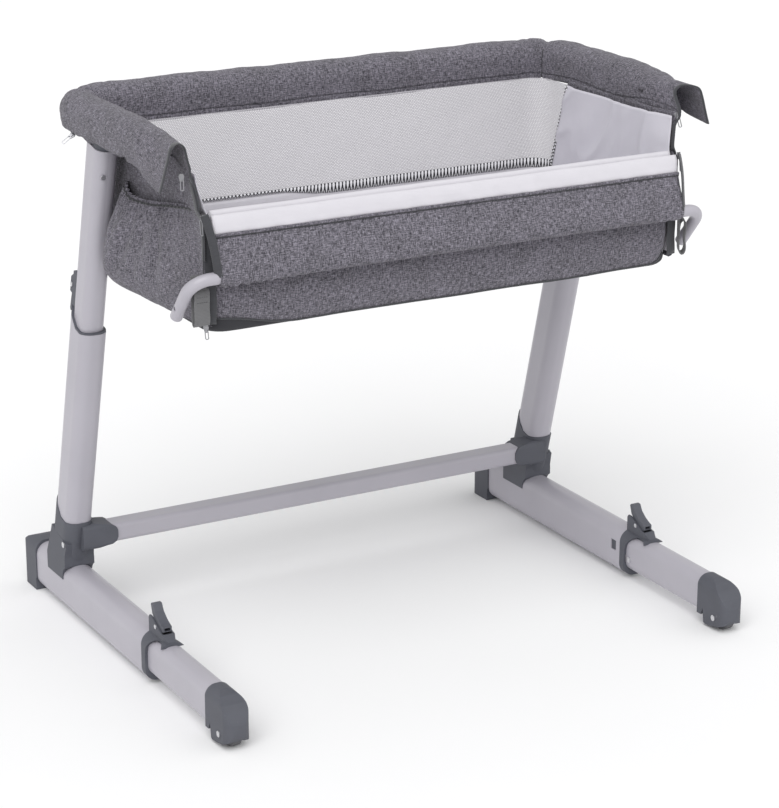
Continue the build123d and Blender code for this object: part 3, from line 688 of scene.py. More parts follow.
def cover_bulge(s, out, up, part, height, outer_side):
    """How far the cloth stands off its even section, from soft folds, creases and the bends' seams."""
    end = min(s, RAIL.total - s)
    ring = wave(s, height * 0.05, 34 * MM, 3.1) * 1.3 * MM
    ring += wave(s + 0.3 * out, height * 0.03, 15 * MM, 6.4) * 0.8 * MM
    slack = wave(s, out + up, 90 * MM, 8.7) * 2.4 * MM
    corner = sum(near(s, c, 60 * MM) for c in RAIL.corners())
    crease = corner * folds(s + up * 0.7, out * 0.4, 26 * MM, 80 * MM, 5.5) * 4.2 * MM
    pull = near(end, 95 * MM, 70 * MM) * outer_side
    crease += pull * folds(s - up * 0.9, up * 0.3, 30 * MM, 60 * MM, 2.4) * 3.0 * MM
    pinch = sum(near(s, c, 5 * MM) for c in RAIL.corners())
    return (ring + slack - crease) * (0.35 if part == "inner" else 0.8) - pinch * 3.2 * MM


def cover_ring(s, kind_of_point):
    """One point of the sleeve at distance s, with its sag, folds and seams."""
    out, up, part, share = kind_of_point
    end = min(s, RAIL.total - s)
    point, outward = RAIL.at(s)
    if part == "under":
        out, up = underside_point(share, end, point.y)
    slack_end = 1 - ease(0, 100 * MM, end)
    peak = mouth_shape(up, part, share)
    out += (peak[0] - out) * slack_end
    up += (peak[1] - up) * slack_end
    height = min(max((up - COVER_BOTTOM) / (COVER_TOP - COVER_BOTTOM), 0.0), 1.0)
    droop = SAG * max(1 - end / DROOP_LENGTH, 0.0) ** 1.6
    outer_side = ease(-10 * MM, 20 * MM, out)
    up -= droop * max(height ** 1.3, outer_side)
    # the mouth's inner edge stands back and its outer flap reaches forward
    reach = 8 * MM * outer_side - 16 * MM * (1 - outer_side) * ease(0.2, 0.6, height)
    point = point + Vector((0, -(1 - ease(0, 45 * MM, end)) * reach, 0))
    bulge = cover_bulge(s, out, up, part, height, outer_side)
    if part == "inner":
        from_hem = abs(up - COVER_BOTTOM - HEM)
        bulge -= 1.6 * MM * (from_hem < 0.6 * MM)
        bulge += 0.8 * MM * wave(s, 0, 25 * MM, 1.7)
        up += 4 * MM * wave(s, 0, 110 * MM, 7.9) + 7 * MM * near(end, 60 * MM, 60 * MM) * (1 - slack_end)
    if part in ("outer", "under"):
        up -= 2.4 * MM * folds(s, 0.0, 55 * MM, 1.0, 9.3) * (1 - slack_end)
    away = Vector((out, up - (COVER_TOP + COVER_BOTTOM) / 2))
    if away.length > 1e-6:
        away.normalize()
    out += away.x * bulge
    up = min(up + away.y * bulge, COVER_TOP + 1.5 * MM)
    return point + outward * out + Vector((0, 0, up))


def rail_cover():
    kinds = cover_section()
    flat = [underside(share) if part == "under" else (out, up) for out, up, part, share in kinds]
    around = [0.0]
    for a, b in zip(flat, flat[1:]):
        around.append(around[-1] + math.hypot(b[0] - a[0], b[1] - a[1]))
    lookup = dict(zip(around, kinds))
    made = surface("rail_cover", steps(0.0, RAIL.total, 4.2 * MM), around,
                   lambda s, v: cover_ring(s, lookup[v]))
    thicken(made, 1.6 * MM)
    finish_piece(made, "basket", LINEN)
    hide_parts("rail_cover_left", "rail_cover_right", "rail_cover_back")
    return kinds


def cover_bindings(kinds):
    """Dark tape round each open end of the sleeve, running on down the end wall's front edge."""
    for side, sign in SIDES:
        s = 0.0 if sign < 0 else RAIL.total
        arch = [cover_ring(s, k) for k in reversed(kinds)]
        down = []
        for z in (COVER_BOTTOM - 10 * MM, COVER_BOTTOM - 24 * MM, LIP_Z + 14 * MM, LIP_Z + 1 * MM):
            x, y = wall_edge(z)
            down.append(Vector((sign * x, y, z)))
        points = smooth_line([p + Vector((0, -1.2 * MM, 0)) for p in arch] + down, 3 * MM)
        made = strip("cover_binding_" + side, points, 7.5 * MM, 2.6 * MM, lambda i: (0, 1, 0))
        finish_piece(made, "basket", BINDING)


def inward(point):
    """The direction from the rail cover's inner face into the basket."""
    beside = abs(point.x) > 380 * MM
    return (-point.x, -0.1, 0.0) if beside else (0.0, -1.0, 0.0)


def cover_seams(kinds):
    """The sewn joins at the bends, each a pinched groove with a dark strand laid in it as painted shade, and
    the row of stitches above the inner hem.
    """
    hem = [k for k in kinds if k[2] == "inner"][5]
    places = steps(6 * MM, RAIL.total - 6 * MM, 5 * MM)
    points = [cover_ring(s, hem) for s in places]
    points = [p - RAIL.at(s)[1] * 0.3 * MM for s, p in zip(places, points)]
    finish_piece(stitch_row("cover_hem_stitches", points, inward), "basket", DARK_THREAD)
    for (side, _), s in zip(SIDES, RAIL.corners()):
        # a dark strand along the pinched seam: painted shade in the groove
        ring = [cover_ring(s, k) for k in kinds if k[2] in ("inner", "top", "outer")]
        made = sweep("cover_seam_shade_" + side, smooth_line(ring, 3 * MM), lambda i: oval(2.4 * MM, 1.6 * MM, 8),
                     lambda i: (1, 0, 0))
        finish_piece(made, "basket", DARK_THREAD)


# ---------------------------------------------------------------- zips
def zip_pull(name, top, direction, facing, body, length=24 * MM):
    """A cast zip pull: a slider with its bridge and a long slotted tab, hanging from top along direction."""
    down, out = Vector(direction).normalized(), Vector(facing).normalized()
    out = (out - down * out.dot(down)).normalized()
    side = down.cross(out)
    turn = Matrix((side, out, down)).transposed().to_4x4()
    turn.translation = Vector(top)
    build = bmesh.new()

    def pull_out(faces, depth):
        pulled = bmesh.ops.extrude_face_region(build, geom=faces)
        moved = [v for v in pulled["geom"] if isinstance(v, bmesh.types.BMVert)]
        bmesh.ops.translate(build, verts=moved, vec=(0, depth, 0))

    def plate(outline, depth, low):
        pull_out([build.faces.new([build.verts.new((x, low, z)) for x, z in outline])], depth)

    w, h = 4.2 * MM, 9.0 * MM
    shield = [(-w, 1 * MM), (-w * 0.55, h), (w * 0.55, h),
              (w, 1 * MM), (w * 0.6, -2 * MM), (-w * 0.6, -2 * MM)]
    plate(shield, 1.3 * MM, -2.8 * MM)
    plate(shield, 1.1 * MM, 0.2 * MM)
    plate([(-1.1 * MM, 0), (-1.1 * MM, 6.4 * MM), (1.1 * MM, 6.4 * MM), (1.1 * MM, 0)], 2.4 * MM, 1.2 * MM)
    inner, outer = [], []
    for k in range(24):
        a = 2 * math.pi * k / 24
        reach = length / 2 - 2.4 * MM
        z = 5 * MM + length / 2 + math.copysign(reach, math.cos(a))
        outer.append((3.0 * MM * math.sin(a), z + 2.4 * MM * math.cos(a)))
        inner.append((1.5 * MM * math.sin(a), z + 1.0 * MM * math.cos(a)))
    low = [build.verts.new((x, 3.0 * MM, z)) for x, z in outer]
    hole = [build.verts.new((x, 3.0 * MM, z)) for x, z in inner]
    faces = [build.faces.new((low[k], low[(k + 1) % 24], hole[(k + 1) % 24], hole[k])) for k in range(24)]
    pull_out(faces, 1.1 * MM)
    bmesh.ops.transform(build, matrix=turn, verts=build.verts)
    bmesh.ops.recalc_face_normals(build, faces=build.faces)
    mesh = bpy.data.meshes.new(name)
    build.to_mesh(mesh)
    build.free()
    made = new_object(name, mesh)
    bevel = made.modifiers.new("edges", "BEVEL")
    bevel.width, bevel.segments, bevel.limit_method = 0.35 * MM, 2, "ANGLE"
    return finish_piece(made, body, CHROME)


def zip_teeth(name, points, across, facing, body, pitch=2.6 * MM):
    """A row of moulded teeth, each a small block with a rounded head."""
    parts = []
    faces = [[3, 2, 1, 0], [4, 5, 6, 7], [0, 1, 5, 4], [1, 2, 6, 5], [2, 3, 7, 6], [3, 0, 4, 7]]
    side, out = Vector(across).normalized(), Vector(facing).normalized()
    ahead = side.cross(out)
    for _, p in spread_points(points, pitch):
        verts = []
        for a, b, c in ((-1, -1, -1), (1.2, -0.6, -0.6), (1.2, 0.6, -0.6), (-1, 1, -1),
                        (-1, -1, 1), (1.2, -0.6, 0.6), (1.2, 0.6, 0.6), (-1, 1, 1)):
            verts.append(p + side * a * 1.6 * MM + ahead * b * 0.7 * MM + out * c * 0.9 * MM)
        parts.append((verts, faces))
    made = joined(name, parts)
    made.data.shade_flat()
    return finish_piece(made, body, TEETH)


def side_zips():
    """The zips that close the drop side to the end walls, with their runners."""
    for side, sign in SIDES:
        x = sign * (WALL_HIGH.x + 1.4 * MM)
        front = WALL_LOW.y - 0.6 * MM
        line = [Vector((x, front, LIP_Z - 70 * MM)), Vector((x, front, LIP_Z - 14 * MM))]
        for z in steps(LIP_Z - 12 * MM, COVER_BOTTOM - 6 * MM, 6 * MM):
            line.append(Vector((sign * (wall_edge(z)[0] + 1.4 * MM), wall_edge(z)[1] - 0.6 * MM, z)))
        zip_teeth("wall_zip_teeth_" + side, line, (0, -1, 0), (sign, 0, 0), "basket")
        tape = [p + Vector((sign * 0.9 * MM, 4.5 * MM, 0)) for p in smooth_line(line, 4 * MM)]
        made = strip("wall_zip_tape_" + side, tape, 11 * MM, 1.2 * MM, lambda i: (0, 1, 0))
        finish_piece(made, "basket", BINDING)
        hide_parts("zip_tape_" + side)
        middle = (RUNNER_LOW.y + RUNNER_HIGH.y) / 2
        top = Vector((sign * (RUNNER_LOW.x + 1.2 * MM), middle - 5 * MM, RUNNER_HIGH.z - 5 * MM))
        pull = zip_pull("zip_runner_" + side, top, (0, -0.12, -1), (sign, -0.4, 0), side + "_zip_runner")
        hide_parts("zip_slider_" + side)


def cover_zip_pulls():
    """Small pulls of the zips that close the rail cover below."""
    low, front = COVER_BOTTOM - 1 * MM, COVER_LOW.y
    spots = (
        ("back_left", (-COVER_X - 20 * MM, 118 * MM, low + 4 * MM), (-0.75, 0.1, -0.6), (-0.5, -0.8, 0.3)),
        ("front_left", (-COVER_X + 8 * MM, front + 6 * MM, low + 4 * MM), (-0.1, -0.25, -1), (-0.3, -1, 0)),
        ("front_right", (COVER_X - 20 * MM, front + 4 * MM, low + 6 * MM), (0.2, -0.2, -1), (-0.2, -1, 0)),
    )
    for where, place, direction, facing in spots:
        zip_pull("cover_pull_" + where, place, direction, facing, "basket", length=18 * MM)


# ---------------------------------------------------------------- inner walls
def seam_y(z):
    """Where the mesh ends on an end wall at height z."""
    t = (z - TRIM_Z) / (COVER_BOTTOM - TRIM_Z)
    return SEAM_LOW_Y + (SEAM_TOP_Y - SEAM_LOW_Y) * t


def wall_point(plan, s, z, bulge):
    point, out = plan.at(s)
    return point + out * bulge + Vector((0, 0, z))


def wall_slack(s, z):
    """How far the cloth of the inner walls stands from its plan line."""
    return -abs(wave(s, z, 120 * MM, 2.2)) * 3 * MM + wave(s, z, 45 * MM, 7.4) * 0.7 * MM


def mesh_panel():
    """The see-through upper wall round the back, between its seams on the two ends."""
    zs = steps(TRIM_Z, COVER_BOTTOM + 3 * MM, 6 * MM)

    def point(u, z):
        start = seam_y(z) - INNER.front
        s = start + (INNER.total - 2 * start) * u / INNER.total
        return wall_point(INNER, s, z, wall_slack(s, z))

    made = surface("mesh_panel", steps(0.0, INNER.total, 5 * MM), zs, point)
    finish_piece(made, "basket", MESH)
    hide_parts("back_wall")


def lower_lining():
    """The pale cloth below the mesh, round the back of the mattress."""
    zs = steps(PAD_LOW.z + 1 * MM, TRIM_Z, 5 * MM)
    start = SEAM_LOW_Y - INNER.front

    def point(u, z):
        s = start + (INNER.total - 2 * start) * u / INNER.total
        return wall_point(INNER, s, z, wall_slack(s, z) - 1 * MM * near(z, TRIM_Z - 12 * MM, 10 * MM))

    made = surface("back_lining", steps(0.0, INNER.total, 6 * MM), zs, point)
    thicken(made, 0.8 * MM)
    finish_piece(made, "basket", LIP_CLOTH)


def end_linings():
    """The pale cloth inside both ends, from the drop side to the mesh."""
    width = 0.36
    zs = steps(PAD_LOW.z + 1 * MM, COVER_BOTTOM + 2 * MM, 5 * MM)
    for side, sign in SIDES:

        def point(u, z):
            front = wall_edge(z)[1] + 1 * MM
            y = front + (seam_y(z) - front) * u / width
            drag = folds(y + z * 0.6, z, 60 * MM, 150 * MM, 4.0 + sign) * 5.5 * MM * ease(640 * MM, 780 * MM, z)
            bow = (wall_edge(z)[0] - WALL_HIGH.x) * (1 - ease(0, 70 * MM, y - front))
            x = WALL_LOW.x - 0.6 * MM + wall_slack(y + sign, z) * 0.5 - drag + bow
            return Vector((sign * x, y, z))

        made = surface("end_lining_" + side, steps(0.0, width, 5 * MM), zs, point, flip=sign > 0)
        thicken(made, 0.8 * MM, offset=1.0)
        finish_piece(made, "basket", LINING)


def net_trims():
    """Lattice tape over the seams between the mesh and the cloth."""
    start = SEAM_LOW_Y - INNER.front
    points = [wall_point(INNER, s, TRIM_Z, wall_slack(s, TRIM_Z) - 1.8 * MM)
              for s in steps(start, INNER.total - start, 6 * MM)]
    wide = [(4 + 12 * ease(-0.11, 0.0, p.x)) * MM for p in points]
    points = [p + Vector((0, 0, 8 * MM - w / 2)) for p, w in zip(points, wide)]
    made = sweep("net_trim_back", points, lambda i: band_section(wide[i], 1.0 * MM), lambda i: (0, 0, 1))
    finish_piece(made, "basket", NET)
    for side, sign in SIDES:
        points = [Vector((sign * (WALL_LOW.x - 2.6 * MM + wall_slack(seam_y(z) + sign, z) * 0.5), seam_y(z), z))
                  for z in steps(TRIM_Z - 4 * MM, COVER_BOTTOM, 6 * MM)]
        made = strip("net_trim_" + side, points, 7 * MM, 1.0 * MM, lambda i: (0, 1, 0))
        finish_piece(made, "basket", NET)


# ---------------------------------------------------------------- outer shell
SHELL_LOW = PANEL_LOW.z + 1 * MM


def shell_top(s):
    """The shell reaches the rail cover on the ends and stops at the mesh's seam at the back."""
    point, _ = OUTER.at(s)
    end = OUTER.side + OUTER.turn
    if end < s < OUTER.total - end:
        return TRIM_Z
    t = ease(SEAM_TOP_Y + 6 * MM, SEAM_LOW_Y + 4 * MM, point.y)
    return COVER_BOTTOM + 8 * MM + (TRIM_Z - COVER_BOTTOM - 8 * MM) * t


def outer_shell():
    """The grey cloth outside: both ends and the lower back, tucked under at the bottom."""
    tall = 0.23
    tuck = 0.055          # share of the height that turns under at the bottom

    def point(s, v):
        share = v / tall
        top = shell_top(s)
        if share < tuck:
            a = (share / tuck) * math.pi / 2
            out, z = -9 * MM + 9 * MM * math.sin(a), SHELL_LOW - 1 * MM + 9 * MM * (1 - math.cos(a))
        else:
            out, z = 0.0, SHELL_LOW + 8 * MM + (top - SHELL_LOW - 8 * MM) * (share - tuck) / (1 - tuck)
        place, outward = OUTER.at(s)
        from_edge = 1 - ease(0, 80 * MM, min(s, OUTER.total - s))
        out += (wall_edge(z)[0] - WALL_HIGH.x) * from_edge
        place = place + Vector((0, (wall_edge(z)[1] - WALL_LOW.y) * from_edge, 0))
        pull = wave(s, z, 70 * MM, 6.1) * 1.2 * MM
        hang = folds(s, z, 38 * MM, 300 * MM, 2.9) * 2.2 * MM * ease(0.70, 0.83, z) * (abs(outward.x) > 0.9)
        return place + outward * (out + pull * 0.5 + hang * 0.6) + Vector((0, 0, z))

    made = surface("outer_shell", steps(0.0, OUTER.total, 6 * MM), steps(0.0, tall, 5 * MM), point)
    thicken(made, 1.2 * MM)
    finish_piece(made, "basket", LINEN)
    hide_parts("end_wall_left", "end_wall_right")
    points = [OUTER.at(s)[0] + OUTER.at(s)[1] * 0.7 * MM + Vector((0, 0, SHELL_LOW + 13 * MM))
              for s in steps(4 * MM, OUTER.total - 4 * MM, 8 * MM)]
    row = stitch_row("shell_low_stitches", points, lambda p: (p.x, 0, 0) if abs(p.x) > 0.4 else (0, 1, 0))
    finish_piece(row, "basket", DARK_THREAD)
    rim = []
    for s in steps(OUTER.side * 0.9, OUTER.total - OUTER.side * 0.9, 6 * MM):
        place, outward = OUTER.at(s)
        rim.append(place + outward * 0.8 * MM + Vector((0, 0, shell_top(s))))
    made = strip("shell_back_binding", rim, 9 * MM, 1.6 * MM, lambda i: (0, 0, 1))
    finish_piece(made, "basket", BINDING)


def panel_low(x):
    """The panel's lower edge: it hangs over the base ring, and lifts and rounds off at its ends."""
    low = RING_LOW.z + 2 * MM + 2.5 * MM * wave(x, 0, 160 * MM, 5.7)
    low += 19 * MM * ease(0.26, 0.40, -x)
    for edge, corner in ((PANEL_HALF + x, 10 * MM), (PANEL_HALF - x, 34 * MM)):
        if edge < corner:
            low += corner - math.sqrt(corner ** 2 - (corner - edge) ** 2)
    return low


def front_panel():
    """The fixed grey panel below and behind the drop side, with rounded lower corners."""
    high = PANEL_HIGH.z - 8 * MM
    half = PANEL_HALF
    tall = high - RING_LOW.z

    def point(u, v):
        x = u - half
        low = panel_low(x)
        z = low + v * (high - low) / tall
        belly = 3.5 * MM * math.sin(math.pi * min(v / 0.09, 1.0))
        sag = wave(x, z, 140 * MM, 1.3) * 2.0 * MM + folds(x, z, 70 * MM, 110 * MM, 5.2) * 1.6 * MM
        round_in = 5 * MM * (1 - ease(0, 16 * MM, half - abs(x))) + 6 * MM * (1 - ease(0, 16 * MM, v))
        return Vector((x, PANEL_LOW.y + 1.5 * MM - belly * 0.6 - sag * 0.4 + round_in, z))

    made = surface("front_panel_cloth", steps(0.0, 2 * half, 5 * MM), steps(0.0, tall, 4.5 * MM), point)
    thicken(made, 1.6 * MM)
    finish_piece(made, "basket", LINEN)
    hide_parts("front_panel")
    edge = [point(x + half, 0.0) + Vector((0, -0.4 * MM, -0.6 * MM)) for x in steps(-half, half, 5 * MM)]
    piping = sweep("panel_piping", edge, lambda i: oval(2.6 * MM, 2.6 * MM, 8), lambda i: (0, 1, 0))
    finish_piece(piping, "basket", BINDING)


def front_lining():
    """The pale cloth inside the front panel, and the padded roll along the panel's top."""
    half = PANEL_HALF
    top = PANEL_HIGH.z - 6 * MM

    def point(x, z):
        return Vector((x, PANEL_HIGH.y - 4 * MM + wave(x, z, 90 * MM, 3.3) * 1.5 * MM, z))

    inner = surface("front_lining", steps(-half, half, 8 * MM), steps(PAD_LOW.z, top, 6 * MM), point, flip=True)
    thicken(inner, 0.8 * MM)
    finish_piece(inner, "basket", LIP_CLOTH)
    middle = (PANEL_LOW.y + PANEL_HIGH.y) / 2 + 0.8 * MM
    roll = [Vector((x, middle, PANEL_HIGH.z - 9.5 * MM + wave(x, 0, 80 * MM, 2.0) * 0.8 * MM))
            for x in steps(-half - 1 * MM, half + 1 * MM, 5 * MM)]
    made = sweep("front_roll", roll, lambda i: oval(15 * MM, 17 * MM, 18), lambda i: (0, 1, 0))
    finish_piece(made, "basket", LIP_CLOTH)


def corner_tapes():
    """Broad dark tape down each lower front corner, under the drop side's zip."""
    for side, sign in SIDES:
        x = sign * (WALL_HIGH.x - 5 * MM)
        line = [Vector((x + sign * 1.5 * MM * wave(z, 0, 30 * MM, sign + 2.0), PANEL_LOW.y + 2.2 * MM, z))
                for z in steps(SHELL_LOW + 2 * MM, LIP_Z - 16 * MM, 6 * MM)]
        made = strip("corner_tape_" + side, line, 19 * MM, 1.8 * MM, lambda i: (1, 0.25 * sign, 0))
        finish_piece(made, "basket", BINDING)


def base_sling():
    """Black cloth round the base ring, which shows below and beside the grey panels."""
    half, back, front = WALL_HIGH.x - 1.2 * MM, BACK_HIGH.y - 1 * MM, PANEL_LOW.y + 7 * MM
    centre_y = (front + back) / 2
    half_y = (back - front) / 2
    ring = spread_points(rounded_loop(0.0, centre_y, 0.0, half, half_y, 30 * MM, 8), 8 * MM)
    lookup = dict(ring)
    middle = Vector((0, centre_y, 0))
    low = RING_LOW.z - 1.5 * MM
    r = 12 * MM
    wall, turn, floor = 0.075, 0.025, 0.100       # the cloth's way down the wall, round the edge and inwards

    def point(u, v):
        p = lookup[u]
        inward = (middle - p).normalized()
        if v < wall:
            return p + Vector((0, 0, TRIM_Z - 8 * MM - v))
        if v < wall + turn:
            a = (v - wall) / turn * math.pi / 2
            return p + inward * r * (1 - math.cos(a)) + Vector((0, 0, low + r - r * math.sin(a)))
        t = (v - wall - turn) / floor
        sag = 2.5 * MM * math.sin(math.pi * min(t, 1)) * 0.5
        q = p.lerp(middle, min(t, 1.0) * 0.97) + inward * r * (1 - t)
        return q + Vector((0, 0, low - sag * 0.4 + wave(q.x, q.y, 80 * MM, 1.1) * 0.8 * MM))

    us = [u for u, _ in ring][:-1]
    made = surface("base_sling", us, steps(0.0, 0.2, 4 * MM), point, wrap_u=True, flip=True)
    for vert in made.data.vertices:
        if vert.co.z > low + r:
            t = (vert.co.z - low - r) / (TRIM_Z - 8 * MM - low - r)
            vert.co.z = low + r + max(t, 0.0) * (TRIM_Z - 10 * MM - low - r)
    thicken(made, 1.0 * MM)
    finish_piece(made, "basket", BLACK_CLOTH)


# ---------------------------------------------------------------- drop side
def flap_line(t):
    """The middle of the hanging side in section: t is 0 at the hinge and 1 at the bar."""
    top = Vector((FLAP_HIGH.y - 4.5 * MM, LIP_Z - 5 * MM))
    bar = Vector((BAR_LOW.y + BAR_RADIUS, BAR_HIGH.z - BAR_RADIUS))
    point = top.lerp(bar, t)
    point.x -= 1.5 * MM * math.sin(math.pi * t)
    return point


def lip():
    """The padded pale roll along the top of the drop side."""
    half = FLAP_HIGH.x - 1 * MM
    ring = [2 * math.pi * k / 20 for k in range(20)]
    top, low = LIP_Z - 0.3 * MM, LIP_SEAM_Z
    middle_z, half_z = (top + low) / 2, (top - low) / 2
    points = [Vector((x, 0, 0)) for x in steps(-half, half, 5 * MM)]

    def section(i):
        x = points[i].x
        edge = ease(0, 14 * MM, half - abs(x))
        out = []
        for a in ring:
            up = math.sin(a)
            z = middle_z + half_z * math.copysign(abs(up) ** 0.8, up)
            t = (LIP_Z - 5 * MM - z) / (LIP_Z - 5 * MM - (BAR_HIGH.z - BAR_RADIUS))
            thick = (5.4 * MM - 1.6 * MM * (1 - edge)) * (1.0 if up > 0 else 0.85)
            swell = wave(x, a * 0.02, 60 * MM, 2.6) * 1.0 * MM
            z += wave(x, a * 0.01, 75 * MM, 6.1) * 1.0 * MM * max(up, 0.0) - 1.0 * MM * max(up, 0.0)
            y = flap_line(max(t, 0.0)).x - (thick + swell) * math.copysign(abs(math.cos(a)) ** 0.8, math.cos(a))
            y -= folds(x + z * 0.8, z, 38 * MM, 70 * MM, 1.9) * 1.5 * MM
            out.append((-y, -z))
        return out

    made = sweep("drop_lip", points, section, lambda i: (0, -1, 0))
    finish_piece(made, "drop_flap", LIP_CLOTH)
    seam = [Vector((x, flap_line(0.28).x - 4.2 * MM, LIP_SEAM_Z + wave(x, 0, 90 * MM, 3.0) * 0.6 * MM))
            for x in steps(-half, half, 5 * MM)]
    piping = sweep("drop_piping", seam, lambda i: oval(5.2 * MM, 4.6 * MM, 12), lambda i: (0, 0, 1))
    finish_piece(piping, "drop_flap", LINEN)
    # a thin dark strand in the crease under the piping: painted shade below the roll
    line = [p + Vector((0, -1.0 * MM, -3.2 * MM)) for p in seam]
    crease_shade = sweep("drop_seam_shade", line, lambda i: oval(1.5 * MM, 1.2 * MM, 8), lambda i: (0, 0, 1))
    finish_piece(crease_shade, "drop_flap", DARK_THREAD)


def drop_cloth():
    """The grey lower part of the drop side, folded round the bar and bunched most at its left end."""
    half = FLAP_HIGH.x - 1 * MM
    bar_y, bar_z = BAR_LOW.y + BAR_RADIUS, BAR_HIGH.z - BAR_RADIUS
    seam_y_at_lip = flap_line(0.28).x
    sleeve = 11.6 * MM
    top_z = LIP_SEAM_Z - 1 * MM
    front = steps(0.0, top_z - bar_z, 4.5 * MM)
    length = front[-1]
    arc = sleeve * math.pi
    total = length + arc + length
    vs = steps(0.0, total, 4.0 * MM)

    def point(x, v):
        bunch = ease(0.16, 0.40, -x) + 0.35 * ease(0.25, 0.40, x)
        ripple = math.cos(x / (19 * MM) * 2 * math.pi + 2.0 * wave(x, 0, 60 * MM, 6.6))
        scallop = (0.5 + 0.5 * ripple) * 5.0 * MM * bunch
        if v < length:
            t = v / length
            z = top_z - v
            y = seam_y_at_lip + (bar_y - seam_y_at_lip) * t
            out = 3.4 * MM + (sleeve - 3.4 * MM) * ease(0.25, 1.0, t)
            swell = 4.0 * MM * math.sin(math.pi * t) * (0.7 + 0.3 * wave(x, 0.0, 110 * MM, 4.4))
            drag = folds(x - z * 0.5, z, 42 * MM, 90 * MM, 3.8) * 2.2 * MM
            y -= out + swell + drag * math.sin(math.pi * min(t * 1.2, 1.0)) * (0.4 + bunch)
            return Vector((x, y, z))
        if v < length + arc:
            a = (v - length) / sleeve
            reach = sleeve + scallop * math.sin(a)
            return Vector((x, bar_y - sleeve * math.cos(a), bar_z - reach * math.sin(a)))
        t = (v - length - arc) / length
        y = bar_y + sleeve - (sleeve - 3.0 * MM) * ease(0.0, 0.6, t)
        y += (seam_y_at_lip - bar_y) * t
        return Vector((x, y, bar_z + (top_z - bar_z) * t))

    made = surface("drop_cloth", steps(-half, half, 5 * MM), vs, point, flip=True)
    thicken(made, 1.5 * MM)
    finish_piece(made, "drop_flap", LINEN)
    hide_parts("drop_side")


def drop_zips():
    """Dark zip tape with its teeth along each end of the drop side."""
    for side, sign in SIDES:
        points = []
        for x, down in ((9.0, 1), (6.5, 22), (3.5, 48), (2.0, 72), (1.5, 88)):
            t = down / 88
            y = flap_line(t).x - 4.0 * MM - 3.5 * MM * t + 8 * MM * (1 - ease(0.0, 0.3, t))
            points.append(Vector((sign * (FLAP_HIGH.x + x * MM), y, LIP_Z - down * MM)))
        line = smooth_line(points, 3 * MM)
        made = strip("drop_zip_tape_" + side, line, 13 * MM, 1.8 * MM, lambda i: (sign * 0.75, 0.66, 0))
        finish_piece(made, "drop_flap", BINDING)
        teeth = [p + Vector((sign * 3.6 * MM, 3.0 * MM, 0)) for p in line]
        zip_teeth("drop_zip_teeth_" + side, teeth, (sign * 0.75, 0.66, 0), (sign * 0.66, -0.75, 0), "drop_flap")


# ---------------------------------------------------------------- pocket
def leg_front(z):
    """Y of the upper leg's front face at height z."""
    return LEG_LOW.y + (LEG_HIGH.z - z) * math.tan(LEAN) + 3 * MM


POCKET_WIDE, POCKET_TALL = 0.30, 0.19             # the grid that the bag is made from


def pocket_mouth(across):
    """Height of the elastic edge: it dips in the middle of its length."""
    return POCKET_HIGH.z - 6 * MM - 21 * MM * ease(0.0, 0.75, across) + 12 * MM * ease(0.8, 1.0, across)


def pocket_depth(u, v):
    """How far the bag stands off the wall: a full lobe with broad valleys, gathered under the elastic."""
    across, up = u / POCKET_WIDE, v / POCKET_TALL
    full = POCKET_HIGH.x - POCKET_LOW.x + 28 * MM
    lobe = across ** 0.9 * (1 - max(across - 0.8, 0.0) / 0.2) ** 0.38 if across < 1 else 0.0
    if up > 0.4:
        body = 1 - 0.72 * ((up - 0.4) / 0.6) ** 1.6
    else:
        body = math.sin(math.pi / 2 * min(up / 0.32, 1.0)) ** 0.45
    depth = full * lobe * body
    tight = ease(0.60, 1.0, up)
    gather = math.sin(u / (14 * MM) * 2 * math.pi + 3.4 * wave(u, 0, 50 * MM, 3.7))
    fan = 0.5 + (across - 0.5) * (0.72 + 0.28 * up)
    valleys = ((0.27, 0.6), (0.41, 1.0), (0.55, 0.7), (0.67, 0.9), (0.80, 0.5))
    broad = sum(deep * near(fan, place, 0.045) for place, deep in valleys) * ease(0.1, 0.6, up)
    second = folds(u - 0.02 * up, v, 27 * MM, 180 * MM, 1.3)
    swell = math.sin(math.pi * min(up * 0.92 + 0.06, 1.0))
    edge = min(lobe * 2.2, 1.0)
    depth += edge * gather * 2.4 * tight * MM
    depth -= edge * (broad * 11.0 * MM + second * 3.0 * MM) * swell
    depth += edge * wave(u, v, 34 * MM, 4.9) * 2.0 * MM
    cinch = ease(0.93, 0.985, up) * (1 - ease(0.985, 1.0, up))
    depth -= cinch * 2.0 * MM * edge
    return max(depth, 0.5 * MM)


def pocket_point(u, v):
    across, up = u / POCKET_WIDE, v / POCKET_TALL
    low = SHELL_LOW - 3 * MM + 5 * MM * across
    z = low + (pocket_mouth(across) - low) * up
    front = WALL_LOW.y + 12 * MM + 18 * MM * up
    back = min(leg_front(z) - 13 * MM, 60 * MM)
    sink = 4 * MM * math.sin(math.pi * across) * (1 - up)
    wall = -WALL_HIGH.x - 1.6 * MM
    return Vector((wall - pocket_depth(u, v), front + (back - front) * across, z - sink))


def pocket():
    """The gathered pocket on the left end: an elastic top edge and a full, drooping bag."""
    us = steps(0.0, POCKET_WIDE, 2.4 * MM)
    made = surface("pocket_bag", us, steps(0.0, POCKET_TALL, 3.0 * MM), pocket_point, flip=True)
    thicken(made, 1.1 * MM)
    finish_piece(made, "basket", LINEN)
    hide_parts("side_pocket")
    us = steps(2 * MM, POCKET_WIDE - 2 * MM, 3 * MM)
    line = [pocket_point(u, POCKET_TALL * 0.965) + Vector((-0.7 * MM, 0, 0)) for u in us]
    band = sweep("pocket_elastic", line, lambda i: oval(3.4 * MM, 1.8 * MM, 8), lambda i: (0, 0, 1))
    finish_piece(band, "basket", DARK_THREAD)
    line = [pocket_point(u, 2.2 * MM) + Vector((-0.6 * MM, 0, 2 * MM)) for u in us]
    piping = sweep("pocket_piping", line, lambda i: oval(3.6 * MM, 3.0 * MM, 10), lambda i: (0, 0, 1))
    finish_piece(piping, "basket", LINEN)


